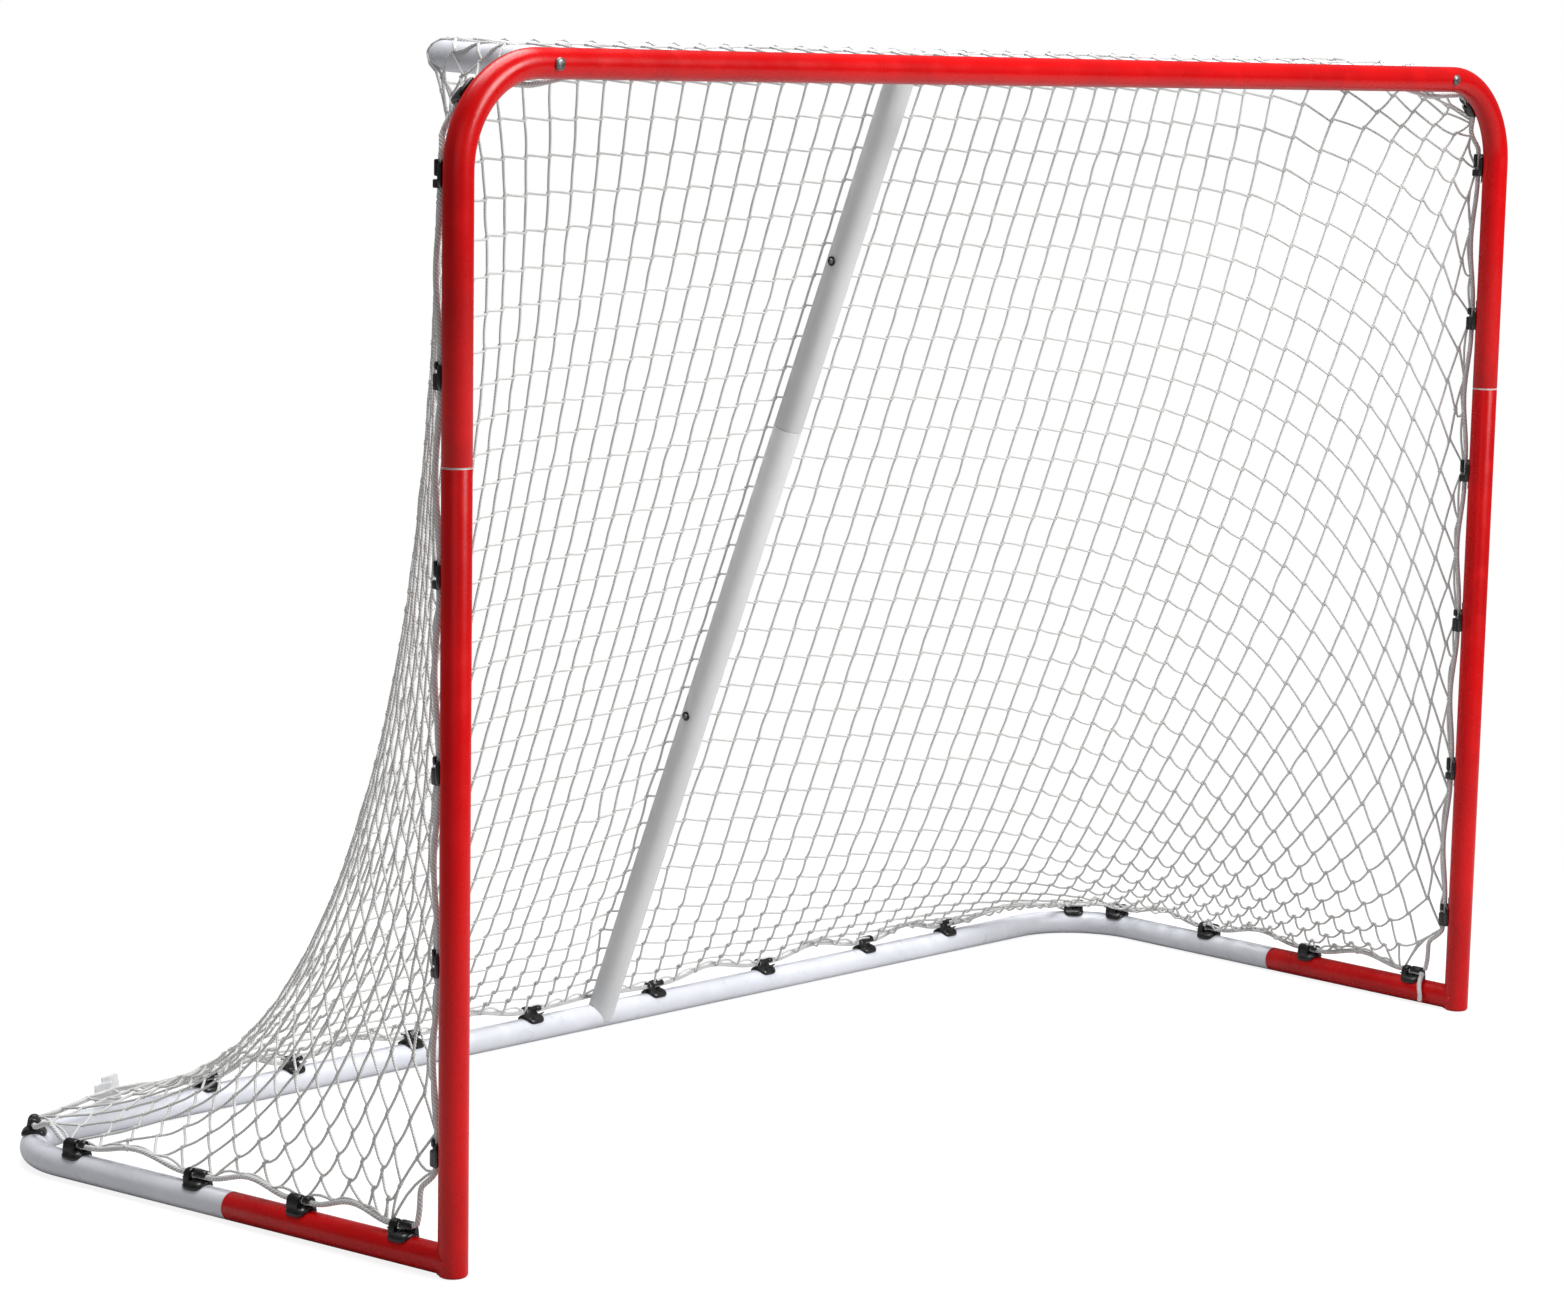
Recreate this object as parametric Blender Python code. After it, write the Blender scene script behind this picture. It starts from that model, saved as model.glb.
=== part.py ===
"""Knock-down street hockey goal, 72 x 48 in, with a splayed tube base, a shallow top shelf,
a centre brace and a knotted net that is clipped round its border.

Metres, +Z up. The mouth faces -Y. X runs from post to post, and the goal is centred on X = 0.
Y = 0 is half way between the crossbar bolts' heads and the back of the base, and Z = 0 is the floor.
"""

import math
from typing import NamedTuple

import bmesh
import bpy
import numpy as np
from mathutils import Matrix, Vector

# Overall sizes
MOUTH_WIDTH = 1.829  # 72 in, over the outside of the posts
MOUTH_HEIGHT = 1.219  # 48 in, floor to the top of the crossbar
BASE_DEPTH = 0.723  # front of the posts to the back of the rear rail
LEG_SPLAY = 0.056  # how far a leg has moved outwards where it meets the rear rail
SHELF_DEPTH = 0.215  # crossbar axis to the axis of the shelf's rear rail
SHELF_RISE = 0.008  # the shelf tips up by this much on its way back
SHELF_INSET = 0.120  # post axis to the axis of a shelf arm

# Tubes
TUBE_D = 0.031
TUBE_WALL = 0.0012
BRACE_D = 0.034
BEND_R = 0.105  # centre line of every bend
BEND_STEPS = 6
TUBE_SIDES = 16

# Slip joints
POST_SEAM_Z = 0.8145
STUB_LENGTH = 0.315  # post axis to the seam in the leg
BRACE_SEAM_Z = 0.783
SPIGOT_LENGTH = 0.050
SPIGOT_CHAMFER = 0.002
SLIP = 0.0004  # radial room between a spigot and its socket
GAP = 0.0003  # room between pieces that touch
FOOT_ROUND = 0.004
FOOT_PLATE = 0.003

# Fasteners
BOLT_D = 0.006
BOLT_HEAD_D = 0.0128
BOLT_HEAD_H = 0.0034
BOLT_ROOM = 0.0005  # radial room round a bolt's shank
INSERT_LENGTH = 0.014
INSERT_SETBACK = 0.004  # back of the crossbar to the front of the insert
SCREW_D = 0.0042
SCREW_HEAD_D = 0.0064
SCREW_HEAD_H = 0.0016
SCREW_REACH = 0.006  # how far a brace screw runs in past the outside of the tube
WASHER_D = 0.0115
WASHER_T = 0.0012
BRACE_SCREW_HEIGHTS = {"upper": 0.983, "lower": 0.420}

# Net clips and the border rope that runs in them
ROPE_D = 0.006
ROPE_SIDES = 6
ROPE_ROOM = 0.0005  # radial room between the rope and a clip's hooks
CLIP_LENGTH = 0.028
CLIP_WIDTH = 0.018
CLIP_PAD_T = 0.0045
HOOK_LENGTH = 0.009
HOOK_T = 0.0028
SADDLE_STEPS = 3
POST_CLIP_FIRST = 0.124
POST_CLIP_PITCH = 0.1946
POST_CLIPS = 6
CROSSBAR_CLIPS = (-0.640, -0.390, -0.130, 0.130, 0.390, 0.640)
LEG_CLIPS = {"left": (0.068, 0.212, 0.364), "right": (0.072, 0.250, 0.430)}  # behind the post
LEG_CLIP_REAR = {"left": 0.142, "right": 0.092}  # the last one, in front of the rear rail
RAIL_CLIPS = (-0.644, -0.514, -0.323, -0.121, 0.099, 0.306, 0.508, 0.677)
SCALLOP = {"front": 0.007, "base": 0.012}  # how far the rope bows off its tube between two clips
ROPE_STEPS = 3  # pieces of the rope from one clip to the next
ROPE_TAIL = 0.009  # straight part of the loose end beside the right foot
ROPE_CLEAR = 0.001  # room between the rope and a tube that it passes

# Net
NET_BAR = 0.115  # side of a gap
STRAND_T = 0.0034
NET_STANDOFF = 0.016  # border rope's axis to the edge strand of the net
NET_GATHER = 0.6  # share of a row that is gathered up at each top corner
SHELF_TURN = math.radians(36)  # how far round the shelf's rear tube the row of knots lies, from the top
SEAM_HALF = 0.0030  # each panel's edge strand lies this far from the seam line
RELAX_ROUNDS = 500
RELAX_STEP = 0.003  # most that a knot moves in a round, so that no strand jumps through a tube
EVEN_PULL = 0.05  # pull of a slack strand, as a share of a tight one's
KNOT_WEIGHT = 0.001  # downward pull on a knot, as the stretch of a tight strand that would balance it

# Tag sewn to the border rope
TAG_WIDTH = 0.034
TAG_HEIGHT = 0.030
TAG_T = 0.0008
TAG_X = 0.165  # inwards from the rear left corner of the base

# Worked out from the sizes above
TUBE_R = TUBE_D / 2
BORE_R = TUBE_R - TUBE_WALL
BRACE_R = BRACE_D / 2
POST_X = MOUTH_WIDTH / 2 - TUBE_R
BOLT_PROUD = GAP + BOLT_HEAD_H  # the crossbar bolts stand this far in front of the posts
POST_Y = TUBE_R + (BOLT_PROUD - BASE_DEPTH) / 2
RAIL_Y = POST_Y + BASE_DEPTH - TUBE_D
CROSSBAR_Z = MOUTH_HEIGHT - TUBE_R
CORNER_X = POST_X + LEG_SPLAY
SHELF_Y = POST_Y + SHELF_DEPTH
SHELF_Z = CROSSBAR_Z + SHELF_RISE
ARM_X = POST_X - SHELF_INSET
ROPE_R = ROPE_D / 2
HOOK_BORE = ROPE_R + ROPE_ROOM
ROPE_HEIGHT = CLIP_PAD_T + HOOK_BORE + 0.0003  # tube's surface to the rope's axis
BEND_CLIP_LIFT = 0.16 * CLIP_LENGTH**2 / BEND_R  # a straight pad clears the bend under it
STRAND_ROOM = STRAND_T * 0.75 + SEAM_HALF  # from a tube's surface to the axis of a strand that lies on it
NET_COLUMNS = 2 * round(POST_X / NET_BAR)  # along the crossbar, and along the rear rail
FOOT_ROW = round(0.8 * MOUTH_HEIGHT / NET_BAR)  # rows down to the feet, where the netting is widest
LEG_ROWS = round(0.8 * BASE_DEPTH / NET_BAR)  # rows from there to the rear corners
NET_ROWS = FOOT_ROW + LEG_ROWS
SIDE_COLUMNS = NET_COLUMNS // 8  # of the crossbar's columns, those in each side panel
TOP_ROWS = round(SHELF_DEPTH / NET_BAR)  # rows that lie over the shelf
SIDES = {"left": -1, "right": 1}


def clear_scene():
    for obj in list(bpy.data.objects):
        bpy.data.objects.remove(obj, do_unlink=True)


def material(name, colour, roughness, metallic=0.0):
    """A Principled material, made once for each name."""
    made = bpy.data.materials.get(name)
    if made is None:
        made = bpy.data.materials.new(name)
        made.use_nodes = True
        shader = made.node_tree.nodes["Principled BSDF"]
        shader.inputs["Base Color"].default_value = (*colour, 1.0)
        shader.inputs["Roughness"].default_value = roughness
        shader.inputs["Metallic"].default_value = metallic
        made.diffuse_color = (*colour, 1.0)
    return made


def red_powder_coat():
    return material("red_powder_coat", (0.62, 0.012, 0.018), 0.32)


def white_powder_coat():
    return material("white_powder_coat", (0.70, 0.72, 0.76), 0.38)


def grey_powder_coat():
    return material("grey_powder_coat", (0.58, 0.59, 0.60), 0.42)


def zinc_plate():
    return material("zinc_plate", (0.55, 0.54, 0.52), 0.35, 1.0)


def black_plastic():
    return material("black_plastic", (0.012, 0.012, 0.014), 0.38)


def white_twine():
    return material("white_twine", (0.78, 0.78, 0.76), 0.75)


def white_fabric():
    return material("white_fabric", (0.80, 0.80, 0.79), 0.85)


def add_object(name, mesh, look=None, location=(0, 0, 0)):
    obj = bpy.data.objects.new(name, mesh)
    obj.location = location
    bpy.context.scene.collection.objects.link(obj)
    if look is not None and not mesh.materials:
        mesh.materials.append(look)
    return obj


def mesh_from(name, build, smooth_angle=35):
    """A mesh filled by build(bm), shaded smooth up to the given angle."""
    bm = bmesh.new()
    build(bm)
    mesh = bpy.data.meshes.new(name)
    bm.to_mesh(mesh)
    bm.free()
    mesh.shade_smooth()
    mesh.set_sharp_from_angle(angle=math.radians(smooth_angle))
    return mesh


def boolean(obj, cutter, operation="DIFFERENCE"):
    modifier = obj.modifiers.new(cutter.name, "BOOLEAN")
    modifier.operation = operation
    modifier.solver = "EXACT"
    modifier.object = cutter


def helper(obj):
    """Marks a cutter, which isn't part of the goal."""
    obj.hide_render = True
    obj.display_type = "WIRE"
    return obj


def bent_path(corners, radius=BEND_R, steps=BEND_STEPS):
    """(place, direction) along straight runs that are joined by round bends."""
    corners = [Vector(corner) for corner in corners]
    path = [(corners[0], (corners[1] - corners[0]).normalized())]
    for before, corner, after in zip(corners, corners[1:], corners[2:]):
        into = (corner - before).normalized()
        onward = (after - corner).normalized()
        turn = into.angle(onward)
        axis = into.cross(onward).normalized()
        start = corner - into * radius * math.tan(turn / 2)
        centre = start + axis.cross(into) * radius
        for step in range(steps + 1):
            spin = Matrix.Rotation(turn * step / steps, 3, axis)
            path.append((centre + spin @ (start - centre), spin @ into))
    path.append((corners[-1], (corners[-1] - corners[-2]).normalized()))
    return path


def rings_along(bm, stations, side, sides):
    """One ring of points for each (place, direction, radius). side lies across the first direction."""
    rings = []
    last = None
    for place, direction, radius in stations:
        direction = Vector(direction).normalized()
        if last is not None:
            side = last.rotation_difference(direction) @ side
        last = direction
        across = (side - direction * side.dot(direction)).normalized()
        up = direction.cross(across)
        ring = []
        for index in range(sides):
            turn = 2 * math.pi * (index + 0.5) / sides
            outwards = math.cos(turn) * across + math.sin(turn) * up
            ring.append(bm.verts.new(Vector(place) + radius * outwards))
        rings.append(ring)
    return rings


def skin(bm, rings, inwards=False):
    for low, high in zip(rings, rings[1:]):
        count = len(low)
        for index in range(count):
            after = (index + 1) % count
            corners = [low[index], low[after], high[after], high[index]]
            bm.faces.new(corners[::-1] if inwards else corners)


def rod(bm, stations, side, sides=TUBE_SIDES):
    """A solid bar through the stations, closed at both ends."""
    rings = rings_along(bm, stations, side, sides)
    skin(bm, rings)
    bm.faces.new(rings[0][::-1])
    bm.faces.new(rings[-1])


def pipe(bm, outer, inner, side, sides=TUBE_SIDES):
    """A hollow bar that is open at both ends. Both lists of stations start and end at the same places."""
    shell = rings_along(bm, outer, side, sides)
    bore = rings_along(bm, inner, side, sides)
    skin(bm, shell)
    skin(bm, bore, inwards=True)
    skin(bm, [bore[0], shell[0]])
    skin(bm, [shell[-1], bore[-1]])


def spigot(end, direction, radius, wall=TUBE_WALL, length=SPIGOT_LENGTH):
    """Stations of a swaged end from its tip to the full tube: a list for the outside and one for the bore."""
    direction = Vector(direction)
    slim = radius - wall - SLIP
    tip = end - direction * length
    outer = [
        (tip, direction, slim - SPIGOT_CHAMFER / 2),
        (tip + direction * SPIGOT_CHAMFER, direction, slim),
        (end, direction, slim),
        (end + direction * SPIGOT_CHAMFER / 2, direction, radius),
    ]
    inner = [
        (tip, direction, slim - wall),
        (end, direction, slim - wall),
        (end + direction * SPIGOT_CHAMFER * 2, direction, radius - wall),
    ]
    return outer, inner


def reverse(stations):
    """The same stations, travelled the other way."""
    return [(place, -Vector(direction), radius) for place, direction, radius in stations[::-1]]


def cylinder_cutter(name, start, end, radius, side, sides=TUBE_SIDES):
    direction = (Vector(end) - Vector(start)).normalized()
    stations = [(Vector(start), direction, radius), (Vector(end), direction, radius)]
    return helper(add_object(name, mesh_from(name, lambda bm: rod(bm, stations, side, sides))))


def post_foot(side):
    return Vector((SIDES[side] * POST_X, POST_Y, TUBE_R))


def leg_direction(side):
    return (Vector((SIDES[side] * CORNER_X, RAIL_Y, TUBE_R)) - post_foot(side)).normalized()


def arm_direction():
    return Vector((0, SHELF_DEPTH, SHELF_RISE)).normalized()


def arm_start(side):
    return Vector((SIDES[side] * ARM_X, POST_Y, CROSSBAR_Z))


def brace_ends():
    return Vector((0, RAIL_Y, TUBE_R)), Vector((0, SHELF_Y, SHELF_Z))


def brace_direction():
    low, high = brace_ends()
    return (high - low).normalized()


def brace_at(height):
    low, high = brace_ends()
    return low.lerp(high, (height - low.z) / (high.z - low.z))


def front_frame():
    """Crossbar and upper posts, one tube with two bends. The shelf's bolts pass through the crossbar."""
    corners = [
        (-POST_X, POST_Y, POST_SEAM_Z + GAP),
        (-POST_X, POST_Y, CROSSBAR_Z),
        (POST_X, POST_Y, CROSSBAR_Z),
        (POST_X, POST_Y, POST_SEAM_Z + GAP),
    ]
    path = bent_path(corners)
    outer = [(place, direction, TUBE_R) for place, direction in path]
    inner = [(place, direction, BORE_R) for place, direction in path]
    mesh = mesh_from("front_frame", lambda bm: pipe(bm, outer, inner, Vector((0, 1, 0))))
    frame = add_object("front_frame", mesh, red_powder_coat())
    for side in SIDES:
        centre = arm_start(side)
        reach = arm_direction() * TUBE_R * 2
        hole = BOLT_D / 2 + BOLT_ROOM
        across = Vector((1, 0, 0))
        drill = cylinder_cutter(f"drill_crossbar_{side}", centre - reach, centre + reach, hole, across, 12)
        boolean(frame, drill)


def lower_post(side):
    """Foot, post and the welded stub that the leg slips into. The post's swaged top enters the upper post."""
    foot = post_foot(side)
    along = leg_direction(side)
    up = Vector((0, 0, 1))
    floor = Vector((foot.x, foot.y, 0))
    rounding = []
    for step in range(4):
        turn = math.pi / 2 * step / 3
        height = FOOT_ROUND * (1 - math.cos(turn))
        rounding.append((floor + up * height, up, TUBE_R - FOOT_ROUND * (1 - math.sin(turn))))
    seam = Vector((foot.x, foot.y, POST_SEAM_Z))
    neck, neck_bore = spigot(seam, -up, TUBE_R)
    upright = rounding + reverse(neck)
    post = add_object(
        f"lower_post_{side}",
        mesh_from("lower_post", lambda bm: rod(bm, upright, Vector((1, 0, 0)))),
        red_powder_coat(),
    )
    stub = [(foot, along, TUBE_R), (foot + along * (STUB_LENGTH - GAP), along, TUBE_R)]
    weld = helper(add_object(f"stub_{side}", mesh_from("stub", lambda bm: rod(bm, stub, up))))
    boolean(post, weld, "UNION")
    bore = [(floor + up * FOOT_PLATE, up, BORE_R)] + reverse(neck_bore)
    bore.append((seam + up * (SPIGOT_LENGTH + TUBE_R), up, neck_bore[0][2]))
    drill = helper(add_object(f"bore_{side}", mesh_from("bore", lambda bm: rod(bm, bore, Vector((1, 0, 0))))))
    boolean(post, drill)
    near = foot + along * (TUBE_R + TUBE_WALL)
    far = foot + along * (STUB_LENGTH + TUBE_R)
    boolean(post, cylinder_cutter(f"socket_{side}", near, far, BORE_R, up))


def base_frame():
    """Rear rail and the rear parts of both legs, one tube with two bends and a swaged end in each stub."""
    ends = {side: post_foot(side) + leg_direction(side) * STUB_LENGTH for side in SIDES}
    corners = [
        ends["left"],
        (-CORNER_X, RAIL_Y, TUBE_R),
        (CORNER_X, RAIL_Y, TUBE_R),
        ends["right"],
    ]
    path = bent_path(corners)[1:-1]
    first, first_bore = spigot(ends["left"], leg_direction("left"), TUBE_R)
    last, last_bore = spigot(ends["right"], leg_direction("right"), TUBE_R)
    outer = first + [(place, direction, TUBE_R) for place, direction in path] + reverse(last)
    inner = first_bore + [(place, direction, BORE_R) for place, direction in path] + reverse(last_bore)
    mesh = mesh_from("base_frame", lambda bm: pipe(bm, outer, inner, Vector((0, 0, 1))))
    add_object("base_frame", mesh, white_powder_coat())


def top_shelf():
    """A shallow tube loop behind the crossbar. Both arms are coped to sit on the crossbar's back."""
    corners = [
        arm_start("left"),
        (-ARM_X, SHELF_Y, SHELF_Z),
        (ARM_X, SHELF_Y, SHELF_Z),
        arm_start("right"),
    ]
    path = bent_path(corners)
    outer = [(place, direction, TUBE_R) for place, direction in path]
    inner = [(place, direction, BORE_R) for place, direction in path]
    across = arm_direction().cross(Vector((1, 0, 0))).normalized()
    shelf = add_object(
        "top_shelf", mesh_from("top_shelf", lambda bm: pipe(bm, outer, inner, across)), white_powder_coat()
    )
    reach = ARM_X + TUBE_D
    cope = cylinder_cutter(
        "cope_crossbar",
        (-reach, POST_Y, CROSSBAR_Z),
        (reach, POST_Y, CROSSBAR_Z),
        TUBE_R + GAP,
        Vector((0, 1, 0)),
        TUBE_SIDES,
    )
    boolean(shelf, cope)


def brace():
    """Centre brace in two halves, coped onto the rear rail and onto the shelf's rear rail."""
    low, high = brace_ends()
    along = brace_direction()
    seam = brace_at(BRACE_SEAM_Z)
    across = Vector((1, 0, 0))
    bore = BRACE_R - TUBE_WALL
    lower = add_object(
        "brace_lower",
        mesh_from(
            "brace_lower",
            lambda bm: pipe(
                bm,
                [(low, along, BRACE_R), (seam - along * GAP, along, BRACE_R)],
                [(low, along, bore), (seam - along * GAP, along, bore)],
                across,
            ),
        ),
        grey_powder_coat(),
    )
    neck, neck_bore = spigot(seam, along, BRACE_R)
    upper = add_object(
        "brace_upper",
        mesh_from(
            "brace_upper",
            lambda bm: pipe(bm, neck + [(high, along, BRACE_R)], neck_bore + [(high, along, bore)], across),
        ),
        grey_powder_coat(),
    )
    seats = {"cope_rear_rail": (lower, low), "cope_shelf_rail": (upper, high)}
    for name, (half, rail) in seats.items():
        reach = Vector((BRACE_D, 0, 0))
        seat = cylinder_cutter(name, rail - reach, rail + reach, TUBE_R + GAP, along, TUBE_SIDES * 2)
        boolean(half, seat)
    for name, half in (("upper", upper), ("lower", lower)):
        centre = brace_at(BRACE_SCREW_HEIGHTS[name])
        inside = centre - Vector((bore / 2, 0, 0))
        outside = centre - Vector((BRACE_R * 2, 0, 0))
        drill = cylinder_cutter(f"drill_brace_{name}", inside, outside, SCREW_D / 2 + BOLT_ROOM, along, 10)
        boolean(half, drill)


def crossbar_bolt(side):
    """Low round head on the crossbar's front, with a shank that reaches through to the shelf's insert."""
    along = arm_direction()
    head = arm_start(side) - along * (TUBE_R + GAP)
    tip = head + along * (2 * TUBE_R + INSERT_SETBACK + INSERT_LENGTH)
    stations = [
        (head - along * BOLT_HEAD_H, along, BOLT_HEAD_D * 0.34),
        (head - along * BOLT_HEAD_H * 0.6, along, BOLT_HEAD_D * 0.46),
        (head - along * BOLT_HEAD_H * 0.25, along, BOLT_HEAD_D / 2),
        (head, along, BOLT_HEAD_D / 2),
        (head, along, BOLT_D / 2),
        (tip, along, BOLT_D / 2),
    ]
    mesh = mesh_from("crossbar_bolt", lambda bm: rod(bm, stations, Vector((1, 0, 0)), 12))
    add_object(f"crossbar_bolt_{side}", mesh, zinc_plate())


def shelf_insert(side):
    """Threaded plug in the end of a shelf arm, which the crossbar bolt pulls up against the crossbar."""
    along = arm_direction()
    start = arm_start(side) + along * (TUBE_R + INSERT_SETBACK)
    end = start + along * INSERT_LENGTH
    plug = BORE_R - SLIP
    hole = BOLT_D / 2 + BOLT_ROOM
    across = along.cross(Vector((1, 0, 0))).normalized()
    outer = [(start, along, plug), (end, along, plug)]
    inner = [(start, along, hole), (end, along, hole)]
    mesh = mesh_from("shelf_insert", lambda bm: pipe(bm, outer, inner, across, 12))
    add_object(f"shelf_insert_{side}", mesh, zinc_plate())


def brace_screw(name):
    """Small screw with a black washer in the side of the brace."""
    inwards = Vector((1, 0, 0))
    surface = brace_at(BRACE_SCREW_HEIGHTS[name]) - inwards * (BRACE_R + GAP)
    washer_top = surface - inwards * WASHER_T
    stations = [
        (washer_top - inwards * (GAP + SCREW_HEAD_H), inwards, SCREW_HEAD_D * 0.36),
        (washer_top - inwards * (GAP + SCREW_HEAD_H / 2), inwards, SCREW_HEAD_D / 2),
        (washer_top - inwards * GAP, inwards, SCREW_HEAD_D / 2),
        (washer_top - inwards * GAP, inwards, SCREW_D / 2),
        (surface + inwards * SCREW_REACH, inwards, SCREW_D / 2),
    ]
    along = brace_direction()
    mesh = mesh_from("brace_screw", lambda bm: rod(bm, stations, along, 10))
    add_object(f"brace_screw_{name}", mesh, zinc_plate())
    hole = SCREW_D / 2 + BOLT_ROOM
    outer = [
        (washer_top, inwards, WASHER_D * 0.44),
        (surface - inwards * WASHER_T / 2, inwards, WASHER_D / 2),
        (surface, inwards, WASHER_D / 2),
    ]
    inner = [(washer_top, inwards, hole), (surface, inwards, hole)]
    mesh = mesh_from("brace_washer", lambda bm: pipe(bm, outer, inner, along, 10))
    add_object(f"brace_washer_{name}", mesh, black_plastic())


def prism(bm, outline, start, end):
    """Closed outline in the YZ plane, extruded along X."""
    low = [bm.verts.new((start, y, z)) for y, z in outline]
    high = [bm.verts.new((end, y, z)) for y, z in outline]
    skin(bm, [low, high])
    bm.faces.new(low[::-1])
    bm.faces.new(high)


def clip_mesh():
    """A pad that saddles the tube, with two hooks that close over the rope from opposite sides.

    The tube runs along X with its axis at the origin, and the clip stands on it towards +Z."""
    spread = math.asin(CLIP_WIDTH / 2 / (TUBE_R + GAP))
    step = 2 * spread / SADDLE_STEPS
    saddle_r = (TUBE_R + GAP) / math.cos(step / 2)
    saddle = []
    for index in range(SADDLE_STEPS + 1):
        turn = -spread + step * index
        saddle.append((saddle_r * math.sin(turn), saddle_r * math.cos(turn)))
    top = TUBE_R + CLIP_PAD_T
    shoulder = CLIP_WIDTH * 0.36
    edge = CLIP_WIDTH / 2
    pad = saddle + [(edge, top - 0.0025), (shoulder, top), (-shoulder, top), (-edge, top - 0.0025)]
    rope_z = TUBE_R + ROPE_HEIGHT
    outside = HOOK_BORE + HOOK_T

    def hook(mirror):
        """Three quarters of a ring round the rope, open on one side."""
        turns = [math.radians(angle) for angle in (-72, -10, 52, 114, 176)]
        arc = []
        for radius, order in ((outside, turns), (HOOK_BORE, turns[::-1])):
            arc += [(mirror * radius * math.cos(turn), rope_z + radius * math.sin(turn)) for turn in order]
        return arc[::-1] if mirror > 0 else arc

    half = CLIP_LENGTH / 2
    body = helper(add_object("clip_pad", mesh_from("clip_pad", lambda bm: prism(bm, pad, -half, half))))
    near = mesh_from("clip_hook_near", lambda bm: prism(bm, hook(1), -half, -half + HOOK_LENGTH))
    far = mesh_from("clip_hook_far", lambda bm: prism(bm, hook(-1), half - HOOK_LENGTH, half))
    boolean(body, helper(add_object("clip_hook_near", near)), "UNION")
    boolean(body, helper(add_object("clip_hook_far", far)), "UNION")
    bpy.context.view_layer.update()
    finished = bpy.data.meshes.new_from_object(body.evaluated_get(bpy.context.evaluated_depsgraph_get()))
    finished.name = "net_clip"
    return finished


def at_depth(path, depth):
    """Where a path first reaches y = depth: place, direction, and whether a bend is within a clip's reach."""
    for index, ((start, into), (end, onward)) in enumerate(zip(path, path[1:])):
        if end.y >= depth:
            share = (depth - start.y) / (end.y - start.y)
            place = start.lerp(end, share)
            near_bend = index > 0 or (path[1][0] - place).length < CLIP_LENGTH / 2
            return place, (end - start).normalized(), near_bend
    return end, onward, True


class Hold(NamedTuple):
    """A place that the border rope runs straight through: a clip on a tube, or a point if it has no name."""

    name: str
    place: Vector
    direction: Vector
    normal: Vector
    lift: float = 0.0

    def anchor(self):
        """Where the rope's axis passes."""
        return self.place + self.normal * (TUBE_R + self.lift + ROPE_HEIGHT) if self.name else self.place

    def reach(self):
        """How far the rope stays straight to each side."""
        return CLIP_LENGTH / 2 + ROPE_D if self.name else 0.0


def under_arm(side):
    """The rope dips under the shelf arm on its way along the crossbar."""
    dip = TUBE_R + ROPE_R + 0.003
    return Vector((SIDES[side] * ARM_X, POST_Y + TUBE_R + ROPE_HEIGHT, CROSSBAR_Z - dip))


def behind_brace():
    """The rope passes behind the foot of the brace."""
    height = 2 * TUBE_R + ROPE_HEIGHT
    depth = brace_at(height).y + BRACE_R / brace_direction().z + ROPE_R + 0.0015
    return Vector((0, depth, height))


def half_route(side):
    """The rope's holds, from the middle of the crossbar by one side to the middle of the rear rail."""
    sign = SIDES[side]
    out = Vector((sign, 0, 0))
    back = Vector((0, 1, 0))
    up = Vector((0, 0, 1))
    route = [Hold("", Vector((0, POST_Y + TUBE_R + ROPE_HEIGHT, CROSSBAR_Z)), out, back)]
    bars = sorted(abs(x) for x in CROSSBAR_CLIPS if x * sign > 0)
    for index, x in enumerate(bars, 1):
        route.append(Hold(f"clip_crossbar_{side}_{index}", Vector((sign * x, POST_Y, CROSSBAR_Z)), out, back))
    route.append(Hold("", under_arm(side), out, back))
    hub = Vector((sign * (POST_X - BEND_R), POST_Y, CROSSBAR_Z - BEND_R))
    spoke = Vector((sign, 0, 1)).normalized()
    downhill = Vector((sign, 0, -1)).normalized()
    route.append(Hold(f"clip_top_corner_{side}", hub + spoke * BEND_R, downhill, back, BEND_CLIP_LIFT))
    for index in range(POST_CLIPS, 0, -1):
        height = POST_CLIP_FIRST + POST_CLIP_PITCH * (index - 1)
        lift = BEND_CLIP_LIFT if height + CLIP_LENGTH / 2 > CROSSBAR_Z - BEND_R else 0.0
        place = Vector((sign * POST_X, POST_Y, height))
        route.append(Hold(f"clip_post_{side}_{index}", place, -up, back, lift))
    base = bent_path([post_foot(side), (sign * CORNER_X, RAIL_Y, TUBE_R), (0, RAIL_Y, TUBE_R)])
    depths = (*LEG_CLIPS[side], RAIL_Y - POST_Y - LEG_CLIP_REAR[side])
    for index, depth in enumerate(depths, 1):
        place, along, on_bend = at_depth(base, POST_Y + depth)
        route.append(Hold(f"clip_leg_{side}_{index}", place, along, up, BEND_CLIP_LIFT if on_bend else 0.0))
    place, along = base[1 + BEND_STEPS // 2]
    route.append(Hold(f"clip_rear_corner_{side}", place, along, up, BEND_CLIP_LIFT))
    rails = sorted((abs(x) for x in RAIL_CLIPS if x * sign > 0), reverse=True)
    for index, x in enumerate(rails, 1):
        route.append(Hold(f"clip_rail_{side}_{index}", Vector((sign * x, RAIL_Y, TUBE_R)), -out, up))
    route.append(Hold("", behind_brace(), -out, up))
    return route


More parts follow.
